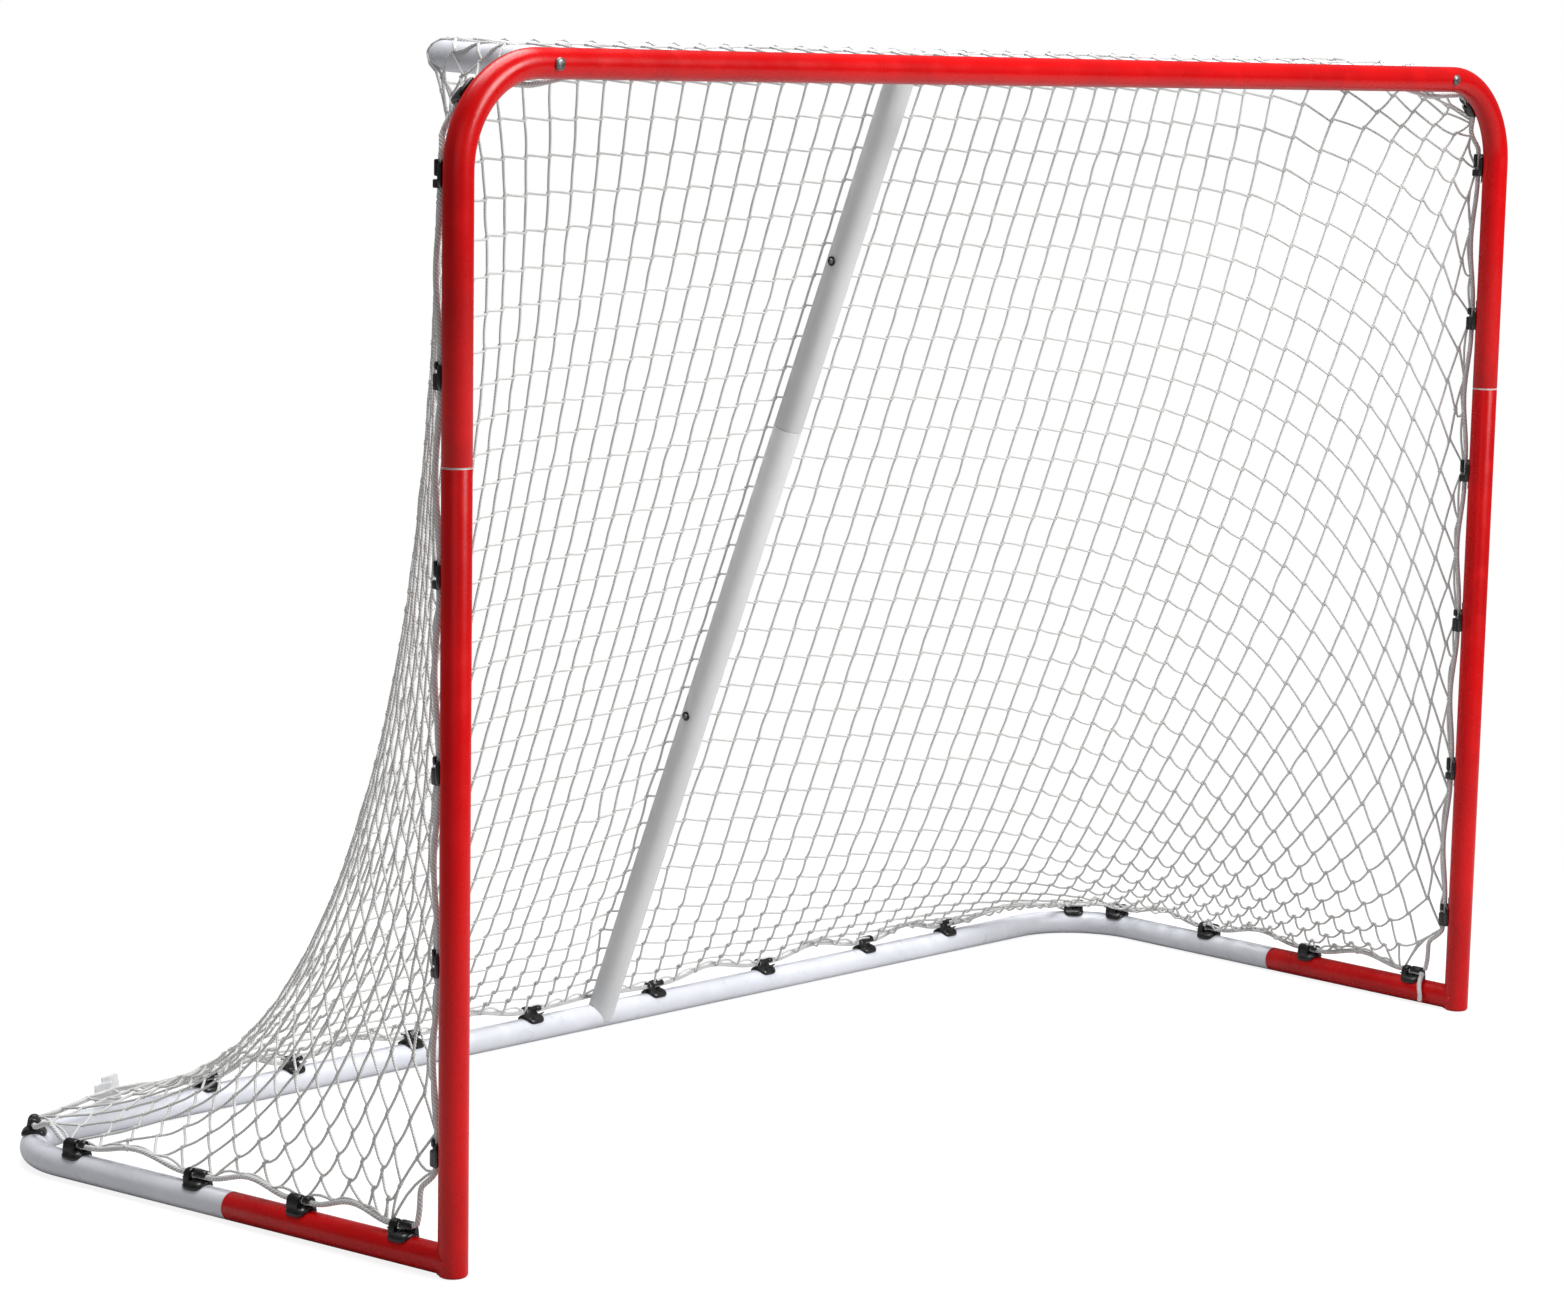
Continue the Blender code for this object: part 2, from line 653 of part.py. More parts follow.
def stretch(before, after, standoff=0.0):
    """Points from where the rope leaves one hold to where it enters the next. Between clips it bows off."""
    leave = before.anchor() + before.direction * before.reach()
    arrive = after.anchor() - after.direction * after.reach()
    bow = 0.0
    if before.name and after.name:
        bow = SCALLOP["front" if after.normal.y > 0.5 else "base"]
    points = []
    for step in range(ROPE_STEPS + 1):
        share = step / ROPE_STEPS
        normal = before.normal.lerp(after.normal, share).normalized()
        points.append(leave.lerp(arrive, share) + normal * (standoff + bow * math.sin(math.pi * share) ** 2))
    return points if after.name or after.place.z < MOUTH_HEIGHT / 2 else points[:-1]


def half_line(side, standoff=0.0):
    """The rope's line down one side, or the line that lies off it by standoff."""
    route = half_route(side)
    points = []
    for before, after in zip(route, route[1:]):
        points += stretch(before, after, standoff)
    return points


def net_clips():
    shape = clip_mesh()
    for side in SIDES:
        for hold in half_route(side):
            if hold.name:
                clip = add_object(hold.name, shape, black_plastic())
                across = hold.normal.cross(hold.direction)
                turn = Matrix((hold.direction, across, hold.normal)).transposed().to_4x4()
                clip.matrix_world = Matrix.Translation(hold.place + hold.normal * hold.lift) @ turn


def loose_end(hold):
    """The rope's end beyond a clip on a leg: it turns over the inner side of the tube and hangs down."""
    inwards = Vector((-math.copysign(1, hold.place.x), 0, 0))
    points = []
    for step in range(4):
        turn = math.radians(30 * step)
        radius = TUBE_R + ROPE_HEIGHT + (ROPE_R + ROPE_CLEAR - ROPE_HEIGHT) * step / 3
        axis = hold.place - hold.direction * (hold.reach() + ROPE_R * step)
        points.append(axis + (hold.normal * math.cos(turn) + inwards * math.sin(turn)) * radius)
    return points + [points[-1] - hold.normal * ROPE_TAIL]


def rope_loop():
    """The whole border: from just above the right foot clip, up, round by the left, and back to that clip."""
    route = half_route("right")
    foot = next(index for index, hold in enumerate(route) if hold.name.startswith("clip_leg"))
    rising, returning = [], []
    for index, (before, after) in enumerate(zip(route, route[1:]), 1):
        if index < foot:
            rising += stretch(before, after)
        elif index == foot:
            rising += stretch(before, after)[:-1]
        else:
            returning += stretch(before, after)
    return rising[:0:-1] + half_line("left") + returning[-2::-1] + loose_end(route[foot])


def smooth_stations(points, radius):
    stations = []
    last = len(points) - 1
    for index, point in enumerate(points):
        direction = points[min(index + 1, last)] - points[max(index - 1, 0)]
        stations.append((point, direction.normalized(), radius))
    return stations


def border_rope():
    stations = smooth_stations(rope_loop(), ROPE_R)
    mesh = mesh_from("border_rope", lambda bm: rod(bm, stations, Vector((1, 0, 0)), ROPE_SIDES), 60)
    add_object("border_rope", mesh, white_twine())


def net_border(side):
    """The lines that the net's edge follows on one side: crossbar, post, leg and rear rail."""
    route = half_route(side)
    lines = [[]]
    for before, after in zip(route, route[1:]):
        run = stretch(before, after, NET_STANDOFF)
        if "post" in before.name and "leg" in after.name:
            half = len(run) // 2
            lines[-1] += run[:half + 1]
            lines.append(run[half:])
        else:
            lines[-1] += run
        if "corner" in after.name:
            corner = after.anchor() + after.normal * NET_STANDOFF
            lines[-1].append(corner)
            lines.append([corner])
    return lines


def side_columns(row):
    """The netting is widest at the feet: how many columns a row has beyond the crossbar's, on each side."""
    if row <= FOOT_ROW:
        return int(LEG_ROWS * row / FOOT_ROW + 0.5)
    return NET_ROWS - row


def part_way(line, share):
    """The point at a share of a line's length."""
    line = np.array(line)
    run = np.concatenate([[0], np.cumsum(np.linalg.norm(np.diff(line, axis=0), axis=1))])
    return np.array([np.interp(share * run[-1], run, line[:, axis]) for axis in range(3)])


def obstacles():
    """(start, end, radius) of the tubes that the net passes outside of."""
    low, high = brace_ends()
    found = [(np.array(low), np.array(high), BRACE_R + STRAND_ROOM)]
    corners = [arm_start("left"), (-ARM_X, SHELF_Y, SHELF_Z), (ARM_X, SHELF_Y, SHELF_Z), arm_start("right")]
    shelf = [place for place, _ in bent_path(corners, steps=4)]
    for start, end in zip(shelf, shelf[1:]):
        found.append((np.array(start), np.array(end), TUBE_R + STRAND_ROOM))
    return found


def nearest(first, second, start, end):
    """For each edge first-second: its share, and the way from the obstacle's axis to it, where nearest."""
    along = second - first
    axis = end - start
    gap = first - start
    a = (along * along).sum(1)
    b = along @ axis
    c = axis @ axis
    d = (along * gap).sum(1)
    e = gap @ axis
    spread = np.maximum(a * c - b * b, 1e-12)
    share = np.clip((b * e - c * d) / spread, 0, 1)
    reach = np.clip((b * share + e) / c, 0, 1)
    share = np.clip((b * reach - d) / np.maximum(a, 1e-12), 0, 1)
    return share, first + along * share[:, None] - start - axis * reach[:, None]


def edge_place(lines, row):
    """Where a row of the netting ends on one side."""
    bar, post, leg, rail = lines
    if row == 0:
        return part_way(post, 0)
    if row <= FOOT_ROW:
        return part_way(post, (row - NET_GATHER) / (FOOT_ROW - NET_GATHER))
    return part_way(leg, (row - FOOT_ROW) / LEG_ROWS)


def net_knots():
    """The knots before the net is hung, as {(row, column): place}, and those that are held.

    The first row runs along the crossbar, the last one along the rear rail, and one lies on the back of the
    shelf. The ends of the others are held on the posts and the legs."""
    borders = {side: net_border(side) for side in SIDES}
    knots, held = {}, {}
    for row in range(NET_ROWS + 1):
        extra = side_columns(row)
        for column in range(-extra, NET_COLUMNS + extra + 1):
            lines = borders["left" if column < NET_COLUMNS / 2 else "right"]
            outwards = max(-column, column - NET_COLUMNS)
            across = abs(2 * min(max(column, 0), NET_COLUMNS) / NET_COLUMNS - 1)
            top = part_way(lines[0], across)
            bottom = part_way(lines[3], 1 - across)
            over = np.array([top[0], SHELF_Y + 3 * TUBE_D, SHELF_Z + 3 * TUBE_D])
            if abs(abs(top[0]) - ARM_X) < NET_BAR:
                top[2] = CROSSBAR_Z + TUBE_R + 2 * STRAND_T
            place = part_way([top, over, bottom], row / NET_ROWS)
            on_shelf = row == TOP_ROWS and outwards <= -SIDE_COLUMNS
            if on_shelf:
                clear = TUBE_R + STRAND_ROOM
                place = np.array([top[0], SHELF_Y + clear * math.tan(SHELF_TURN), SHELF_Z + clear])
            elif row not in (0, NET_ROWS) and outwards >= 0:
                place = place + (edge_place(lines, row) - place) * (outwards / extra if extra else 1)
            knots[row, column] = place
            held[row, column] = on_shelf or row in (0, NET_ROWS) or outwards == extra
    return knots, held


def settle(knots, held):
    """Moves the free knots until the pulls balance. A strand over NET_BAR long pulls hard."""
    index = {key: number for number, key in enumerate(knots)}
    pairs = []
    for row, column in knots:
        for beside in ((row + 1, column), (row, column + 1)):
            if beside in index:
                pairs.append((index[row, column], index[beside]))
    first, second = np.array(pairs).T
    places = np.array(list(knots.values()))
    free = ~np.array(list(held.values()))[:, None]
    speed = np.zeros_like(places)
    tubes = obstacles()
    for _ in range(RELAX_ROUNDS):
        along = places[second] - places[first]
        length = np.linalg.norm(along, axis=1)
        pull = along * (EVEN_PULL + np.maximum(1 - NET_BAR / length, 0))[:, None]
        stiffness = EVEN_PULL + (length > NET_BAR)
        force = np.zeros_like(places)
        total = np.zeros(len(places))
        for ends, sign in ((first, 1), (second, -1)):
            np.add.at(force, ends, sign * pull)
            np.add.at(total, ends, stiffness)
        force[:, 2] -= KNOT_WEIGHT
        speed = 0.9 * speed + 0.35 * force / total[:, None]
        size = np.linalg.norm(speed, axis=1, keepdims=True)
        speed *= np.minimum(1, RELAX_STEP / np.maximum(size, 1e-12)) * free
        before = places.copy()
        places += speed
        hold_off(places, free, first, second, tubes)
        speed = places - before
    for _ in range(12):
        hold_off(places, free, first, second, tubes)
    return dict(zip(knots, places))


def hold_off(places, free, first, second, tubes):
    """Moves each strand that runs into a tube until it only touches it."""
    for start, end, radius in tubes:
        share, away = nearest(places[first], places[second], start, end)
        length = np.linalg.norm(away, axis=1)
        hit = length < radius
        if not hit.any():
            continue
        weight = np.maximum((1 - share) ** 2 + share**2, 0.25)
        move = away * ((radius - length) / np.maximum(length, 1e-9) / weight)[:, None]
        for ends, part in ((first[hit], 1 - share[hit]), (second[hit], share[hit])):
            np.add.at(places, ends, move[hit] * part[:, None] * free[ends] / 2)


def net_gaps():
    """The knots round each gap of the netting. Where a row is wider than the next, the end is a triangle."""
    gaps = []
    for row in range(NET_ROWS):
        above, below = side_columns(row), side_columns(row + 1)
        both = min(above, below)
        for column in range(-both, NET_COLUMNS + both):
            gaps.append(((row, column), (row + 1, column), (row + 1, column + 1), (row, column + 1)))
        right = NET_COLUMNS + both
        if below > above:
            gaps.append(((row, -both), (row + 1, -both - 1), (row + 1, -both)))
            gaps.append(((row, right), (row + 1, right), (row + 1, right + 1)))
        elif above > below:
            gaps.append(((row, -both - 1), (row + 1, -both), (row, -both)))
            gaps.append(((row, right), (row + 1, right), (row, right + 1)))
    return gaps


def panel_of(gap):
    """The panel that a gap belongs to."""
    row = min(key[0] for key in gap)
    column = min(key[1] for key in gap)
    if column < SIDE_COLUMNS:
        return "net_side_left"
    if column >= NET_COLUMNS - SIDE_COLUMNS:
        return "net_side_right"
    if row < TOP_ROWS:
        return "net_top"
    return "net_back_left" if column < NET_COLUMNS / 2 else "net_back_right"


def net_panel(name, knots, gaps, seams):
    """One panel of the net. Its strands on a seam lie just inside it, towards the next row or column."""
    patch = {key: knots[key].copy() for gap in gaps for key in gap}
    for axis, line, inner in seams:
        for key in patch:
            if key[axis] == line:
                beside = (inner, key[1]) if axis == 0 else (key[0], inner)
                inwards = knots[beside] - knots[key]
                patch[key] += inwards / np.linalg.norm(inwards) * SEAM_HALF

    def build(bm):
        points = {key: bm.verts.new(place) for key, place in patch.items()}
        for gap in gaps:
            bm.faces.new([points[key] for key in gap])

    panel = add_object(name, mesh_from(name, build), white_twine())
    strands = panel.modifiers.new("strands", "WIREFRAME")
    strands.thickness = STRAND_T
    strands.use_even_offset = True
    strands.use_boundary = True
    strands.use_replace = True


def net():
    knots = settle(*net_knots())
    right = NET_COLUMNS - SIDE_COLUMNS
    middle = NET_COLUMNS // 2
    from_left = (1, SIDE_COLUMNS, SIDE_COLUMNS + 1)
    from_right = (1, right, right - 1)
    from_top = (0, TOP_ROWS, TOP_ROWS + 1)
    seams = {
        "net_top": ((0, TOP_ROWS, TOP_ROWS - 1), from_left, from_right),
        "net_back_left": (from_top, from_left, (1, middle, middle - 1)),
        "net_back_right": (from_top, (1, middle, middle + 1), from_right),
        "net_side_left": ((1, SIDE_COLUMNS, SIDE_COLUMNS - 1),),
        "net_side_right": ((1, right, right + 1),),
    }
    gaps = net_gaps()
    for name, lines in seams.items():
        net_panel(name, knots, [gap for gap in gaps if panel_of(gap) == name], lines)


def net_tag():
    """Blank sewn tag with two leaves, on the back of the border rope near the rear left corner."""
    low_points = [point for point in half_line("left") if point.z < CROSSBAR_Z / 2]
    rear = sorted(tuple(point) for point in low_points if point.y > RAIL_Y - BEND_R)
    x, y, z = np.array(rear).T
    start = TAG_X - CORNER_X - TAG_WIDTH / 2
    back = np.interp(np.linspace(start, start + TAG_WIDTH, 9), x, y).max() + ROPE_R + GAP * 3
    low = np.interp(start + TAG_WIDTH / 2, x, z) - ROPE_R
    leaf = TAG_HEIGHT / 2
    outline = [
        (back, low),
        (back + TAG_T * 2.4, low),
        (back + TAG_T * 5, low + leaf),
        (back + TAG_T * 7, low + TAG_HEIGHT * 0.9),
        (back + TAG_T * 6, low + TAG_HEIGHT * 0.92),
        (back + TAG_T * 4, low + leaf),
        (back + TAG_T * 1.8, low + TAG_T * 3),
        (back + TAG_T * 1.4, low + leaf),
        (back + TAG_T * 1.8, low + TAG_HEIGHT),
        (back + TAG_T * 0.8, low + TAG_HEIGHT),
        (back + TAG_T * 0.2, low + leaf),
    ]
    mesh = mesh_from("net_tag", lambda bm: prism(bm, outline, start, start + TAG_WIDTH))
    add_object("net_tag", mesh, white_fabric())


def build_goal():
    clear_scene()
    front_frame()
    for side in SIDES:
        lower_post(side)
    base_frame()
    top_shelf()
    brace()
    for side in SIDES:
        crossbar_bolt(side)
        shelf_insert(side)
    for name in BRACE_SCREW_HEIGHTS:
        brace_screw(name)
    net_clips()
    border_rope()
    net()
    net_tag()


build_goal()
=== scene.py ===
"""Looks of the knock-down street hockey goal: tubes, clips, border rope, knotted netting, tag and finishes.

Metres, +Z up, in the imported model's frame. The mouth faces -Y and the goal is centred on X = 0.
"""

import math
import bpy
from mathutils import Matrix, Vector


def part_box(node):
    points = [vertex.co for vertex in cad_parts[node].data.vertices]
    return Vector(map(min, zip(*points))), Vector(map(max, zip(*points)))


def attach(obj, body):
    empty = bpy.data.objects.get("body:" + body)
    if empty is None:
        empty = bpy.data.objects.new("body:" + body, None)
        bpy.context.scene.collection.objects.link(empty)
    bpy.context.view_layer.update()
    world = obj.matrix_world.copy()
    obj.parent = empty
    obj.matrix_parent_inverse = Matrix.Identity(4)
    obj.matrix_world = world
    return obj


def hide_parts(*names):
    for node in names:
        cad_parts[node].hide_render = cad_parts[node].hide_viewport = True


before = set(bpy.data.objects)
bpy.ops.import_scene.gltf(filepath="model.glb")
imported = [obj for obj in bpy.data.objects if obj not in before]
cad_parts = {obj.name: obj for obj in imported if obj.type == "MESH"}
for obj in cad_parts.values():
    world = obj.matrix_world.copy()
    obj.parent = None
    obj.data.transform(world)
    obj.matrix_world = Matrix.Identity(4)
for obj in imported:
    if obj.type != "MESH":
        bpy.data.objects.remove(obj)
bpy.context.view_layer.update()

from types import SimpleNamespace

import bmesh
import bpy
import numpy as np
from mathutils import Matrix, Vector

UP = Vector((0, 0, 1))
ACROSS = Vector((1, 0, 0))
BACK = Vector((0, 1, 0))

# The goal's sizes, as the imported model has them
POST_X = 0.899
POST_Y = -0.34415
RAIL_Y = 0.34785
CROSSBAR_Z = 1.2035
TUBE_R = 0.0155
TUBE_WALL = 0.0012
BRACE_R = 0.017
BEND_R = 0.105
CORNER_X = 0.955
SHELF_Y = -0.12915
SHELF_Z = 1.2115
ARM_X = 0.779
POST_SEAM_Z = 0.8145
STUB_LENGTH = 0.315
BRACE_SEAM_Z = 0.783
SPIGOT_LENGTH = 0.050  # narrowed tube end that slips into the next tube
BORE_DEPTH = SPIGOT_LENGTH + 0.004  # how deep an open tube end is hollow
SLIP = 0.0004  # room round a narrowed end in its tube
GAP = 0.0003  # room between two pieces that touch
FOOT_ROUND = 0.004
LIP = 0.0007  # rounded rim of a cut tube end
RIM_REACH = LIP * 1.2  # how far from a seam the rim's finish goes
NOTCH_LEAD = 3  # a notched end starts this many radii short and is then slid on
WELD_R = 0.0014

BOLT_HEAD_D = 0.0128
BOLT_HEAD_H = 0.0034
BOLT_D = 0.006
BOLT_SHANK = 0.034  # from the head to the thread
THREAD_STEP = 0.0006  # half of the thread's pitch
THREAD_DEPTH = 0.0003
SCREW_HEAD_D = 0.0064
SCREW_HEAD_H = 0.0016
SCREW_R = 0.0021
SCREW_REACH = 0.006  # into the brace
WASHER_D = 0.0115
WASHER_T = 0.0012
WASHER_BORE_R = 0.0027
BRACE_SCREW_HEIGHTS = {"upper": 0.983, "lower": 0.420}

ROPE_R = 0.003
ROPE_HEIGHT = 0.0083  # tube's surface to the rope's axis
CLIP_LENGTH = 0.028
CLIP_WIDTH = 0.018
CLIP_REACH = CLIP_LENGTH / 2 + 0.003  # the rope runs straight this far on both sides of a clip's middle
PAD_WIDTH = CLIP_WIDTH * 1.6  # the pad's length round the tube
HOOK_BORE = 0.0035  # inner radius of the hooks over the rope
HOOK_T = 0.0036  # their wall
BEND_CLIP_LIFT = 0.0012  # how far a clip stands off a bent tube
POST_CLIP_FIRST = 0.124
POST_CLIP_PITCH = 0.1946
CROSSBAR_CLIPS = (0.130, 0.390, 0.640)
LEG_CLIPS = {"left": (0.068, 0.212, 0.364, 0.550), "right": (0.072, 0.250, 0.430, 0.600)}
RAIL_CLIPS = (-0.644, -0.514, -0.323, -0.121, 0.099, 0.306, 0.508, 0.677)
SCALLOP = {"front": 0.007, "base": 0.012}  # how far the rope bows off the tube between two clips
SIDES = {"left": -1, "right": 1}

# Facets round a tube and along a bend
TUBE_SIDES = 56
BEND_STEPS = 28

TWINE_D = 0.0030
MESH_BAR = 0.0385  # 1.5 in from knot to knot
NET_COLUMNS = 47
NET_ROWS = 40
FOOT_ROW = {"left": 25, "right": 22}  # this row ends at the foot
FOOT_GATHER = 3  # rows that end together at the foot clip
FOOT_CLIP_SHARE = 0.115  # where that clip is on the edge's length along the leg
CORNER_ROWS = 4  # the rows before this one end together at the bend clips
CORNER_SPREAD = {"left": 5, "right": 3}  # columns beyond the crossbar's, two rows further down
FOOT_SPREAD = {"left": 13, "right": 13}  # and at the feet
LEG_TAPER = {"left": 0.9, "right": 1.0}  # columns that a row loses on its way to the rear corner
NET_EVEN_PULL = 0.05  # of every bar, to which a stretched one adds its stretched share
NET_CORNER_PULL = 0.3  # of the bars that are gathered at the bend clips
NET_STANDOFF = 0.002  # the net is held this far outside the rope's axis
START_RISE = 0.09  # it starts this far above and behind the shelf, and settles from there
CORNER_STEP = 0.004  # between two rows at a bend clip, as a share of the post's edge
FOOT_STEP = 0.01  # and at a foot clip, as a share of the leg's edge
ROW_UNEVEN = 0.009  # how uneven the rows' ends are along the post, as a share of it
NET_WEIGHT = 0.00011  # of a knot with its twine, on the same scale as the pulls
NET_ROUNDS = 700  # steps of settling
SPEED_KEPT = 0.90  # of a knot's last step
SPEED_GAIN = 0.35  # of the step that would balance its pulls
SPEED_LIMIT = 0.003  # metres in one step
NEAR_ROUNDS = 15  # steps between two looks for bars near a tube
NEAR_TUBE = 0.06  # and what is near
PANELS = ("net_top", "net_back_left", "net_back_right", "net_side_left", "net_side_right")
NET_SIDE_COLUMNS = 6  # of the crossbar's columns, on each side, that belong to the side panels
NET_TOP_ROWS = 6
KNOT_HALF = 0.0020  # a level bar leaves its knot this far above or below the middle
SHELF_SINK = 0.003  # the settled bars are straight and may cut this far into the shelf, then are laid on it
SELVEDGE_BOW = 0.007  # how far the outermost strand stands off the rope between two knots
TWINE_LAID = TWINE_D * 0.4  # a strand on the shelf is pressed down to this height over the tube
SHELF_NEAR = 0.05  # strands that start lower than this under the shelf's middle aren't laid on it
DRAWN_SAG = 0.15  # of their slack hangs in the bars that are drawn together
TWINE_CROOK = 0.0005
KNOT_TAKES = 0.004  # twine of a bar that its knots take up
KNOT_WIDTH = 0.0034
KNOT_LENGTH = 0.0050
EDGE_KNOT_LENGTH = 0.0036

TAG_WIDTH = 0.046
TAG_HEIGHT = 0.034
TAG_CLOTH = 0.0006
TAG_DROP = 0.013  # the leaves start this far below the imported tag

ROOM_LIGHT = 0.16  # the world's strength, as the goal is lit by it


# Colour and shader helpers


def linear(code):
    """Linear RGBA of an sRGB hex colour."""
    channels = [int(code[index:index + 2], 16) / 255 for index in (1, 3, 5)]
    return (*[c / 12.92 if c <= 0.04045 else ((c + 0.055) / 1.055) ** 2.4 for c in channels], 1.0)


def feed(tree, node, inputs):
    """Sets a node's inputs. Each takes a value or a link: a socket, or a node for its first output in use."""
    for key, value in inputs.items():
        if isinstance(value, bpy.types.Node):
            value = next(socket for socket in value.outputs if socket.enabled)
        if isinstance(value, bpy.types.NodeSocket):
            tree.links.new(value, node.inputs[key])
        else:
            node.inputs[key].default_value = value


def add(tree, kind, inputs=None, **settings):
    """A new node with its settings and its inputs."""
    node = tree.nodes.new(kind)
    for name, value in settings.items():
        setattr(node, name, value)
    feed(tree, node, inputs or {})
    return node


def finish(name):
    """An empty material, its nodes, its shader, and the place on the piece that a pattern is read at."""
    made = bpy.data.materials.new(name)
    made.use_nodes = True
    tree = made.node_tree
    return made, tree, tree.nodes["Principled BSDF"], add(tree, "ShaderNodeTexCoord").outputs["Object"]


def span(value, low, high, to_low=0.0, to_high=1.0):
    """What a Map Range node needs to take value from low..high to to_low..to_high, held at both ends."""
    return {"Value": value, "From Min": low, "From Max": high, "To Min": to_low, "To Max": to_high}


def between(share, low, high):
    """What a Mix node needs for the colour between two hex colours."""
    return {"Factor": share, "A": linear(low), "B": linear(high)}


def powder_coat(name, shade, main, light, roughness, mottle, index):
    """Polyester powder coat, sprayed dry and baked: an even film with fine orange peel and a soft gloss.

    The peel is 1 to 2 mm across on the real tube. It is drawn at 3 mm, so that it shows. mottle is how far
    the gloss changes over patches of about 30 mm, where hands and floors have rubbed it. index is the film's
    refractive index: the lower it is, the less of the white room lies over the colour."""
    made, tree, shader, place = finish(name)
    patches = add(tree, "ShaderNodeTexNoise", {"Vector": place, "Scale": 30.0, "Detail": 3.0})
    cloud = add(tree, "ShaderNodeTexNoise", {"Vector": place, "Scale": 5.0, "Detail": 2.0})
    peel = add(tree, "ShaderNodeTexNoise", {"Vector": place, "Scale": 330.0, "Detail": 1.0})
    clouded = add(tree, "ShaderNodeMapRange", span(cloud, 0.35, 0.65))
    depth = add(tree, "ShaderNodeMix", between(clouded, shade, main), data_type="RGBA")
    specks = add(tree, "ShaderNodeMapRange", span(patches, 0.55, 0.80, 0.0, 0.5))
    colour = add(tree, "ShaderNodeMix", {"Factor": specks, "A": depth, "B": linear(light)}, data_type="RGBA")
    gloss = add(tree, "ShaderNodeMapRange", span(patches, 0.3, 0.7, roughness - mottle, roughness + mottle))
    bump = add(tree, "ShaderNodeBump", {"Height": peel, "Strength": 0.12, "Distance": 0.0004})
    feed(tree, shader, {"Base Color": colour, "Roughness": gloss, "Normal": bump, "IOR": index})
    return made


def worn_lip():
    """The cut rim of a coated tube, where sliding the joint together has rubbed the film thin and pale."""
    made, tree, shader, place = finish("worn_tube_rim")
    rubs = add(tree, "ShaderNodeTexNoise", {"Vector": place, "Scale": 160.0, "Detail": 2.0})
    share = add(tree, "ShaderNodeMapRange", span(rubs, 0.4, 0.62))
    colour = add(tree, "ShaderNodeMix", between(share, "#C4BFBD", "#DEDBD8"), data_type="RGBA")
    gloss = add(tree, "ShaderNodeMapRange", span(rubs, 0.3, 0.7, 0.35, 0.6))
    feed(tree, shader, {"Base Color": colour, "Roughness": gloss})
    return made


def zinc_plate():
    """Bright zinc on pressed steel screws: a bluish grey metal with a soft, slightly cloudy shine."""
    made, tree, shader, place = finish("zinc_plated_steel")
    cloud = add(tree, "ShaderNodeTexNoise", {"Vector": place, "Scale": 420.0, "Detail": 3.0})
    share = add(tree, "ShaderNodeMapRange", span(cloud, 0.35, 0.65))
    colour = add(tree, "ShaderNodeMix", between(share, "#626262", "#92918E"), data_type="RGBA")
    gloss = add(tree, "ShaderNodeMapRange", span(cloud, 0.3, 0.7, 0.34, 0.52))
    bump = add(tree, "ShaderNodeBump", {"Height": cloud, "Strength": 0.2, "Distance": 0.0002})
    feed(tree, shader, {"Base Color": colour, "Roughness": gloss, "Normal": bump, "Metallic": 1.0})
    return made


def black_plastic():
    """Injection-moulded nylon, spark-eroded mould: near black with a fine grain and small sharp glints.

    The grain is about 0.3 mm on the real clip and is drawn at 0.8 mm."""
    made, tree, shader, place = finish("black_moulded_nylon")
    grain = add(tree, "ShaderNodeTexNoise", {"Vector": place, "Scale": 1250.0, "Detail": 2.0})
    dust = add(tree, "ShaderNodeTexNoise", {"Vector": place, "Scale": 140.0, "Detail": 3.0})
    share = add(tree, "ShaderNodeMapRange", span(dust, 0.45, 0.75))
    colour = add(tree, "ShaderNodeMix", between(share, "#0E0E0F", "#1C1C1E"), data_type="RGBA")
    gloss = add(tree, "ShaderNodeMapRange", span(dust, 0.3, 0.7, 0.20, 0.40))
    bump = add(tree, "ShaderNodeBump", {"Height": grain, "Strength": 0.25, "Distance": 0.0003})
    feed(tree, shader, {"Base Color": colour, "Roughness": gloss, "Normal": bump, "IOR": 1.53})
    return made


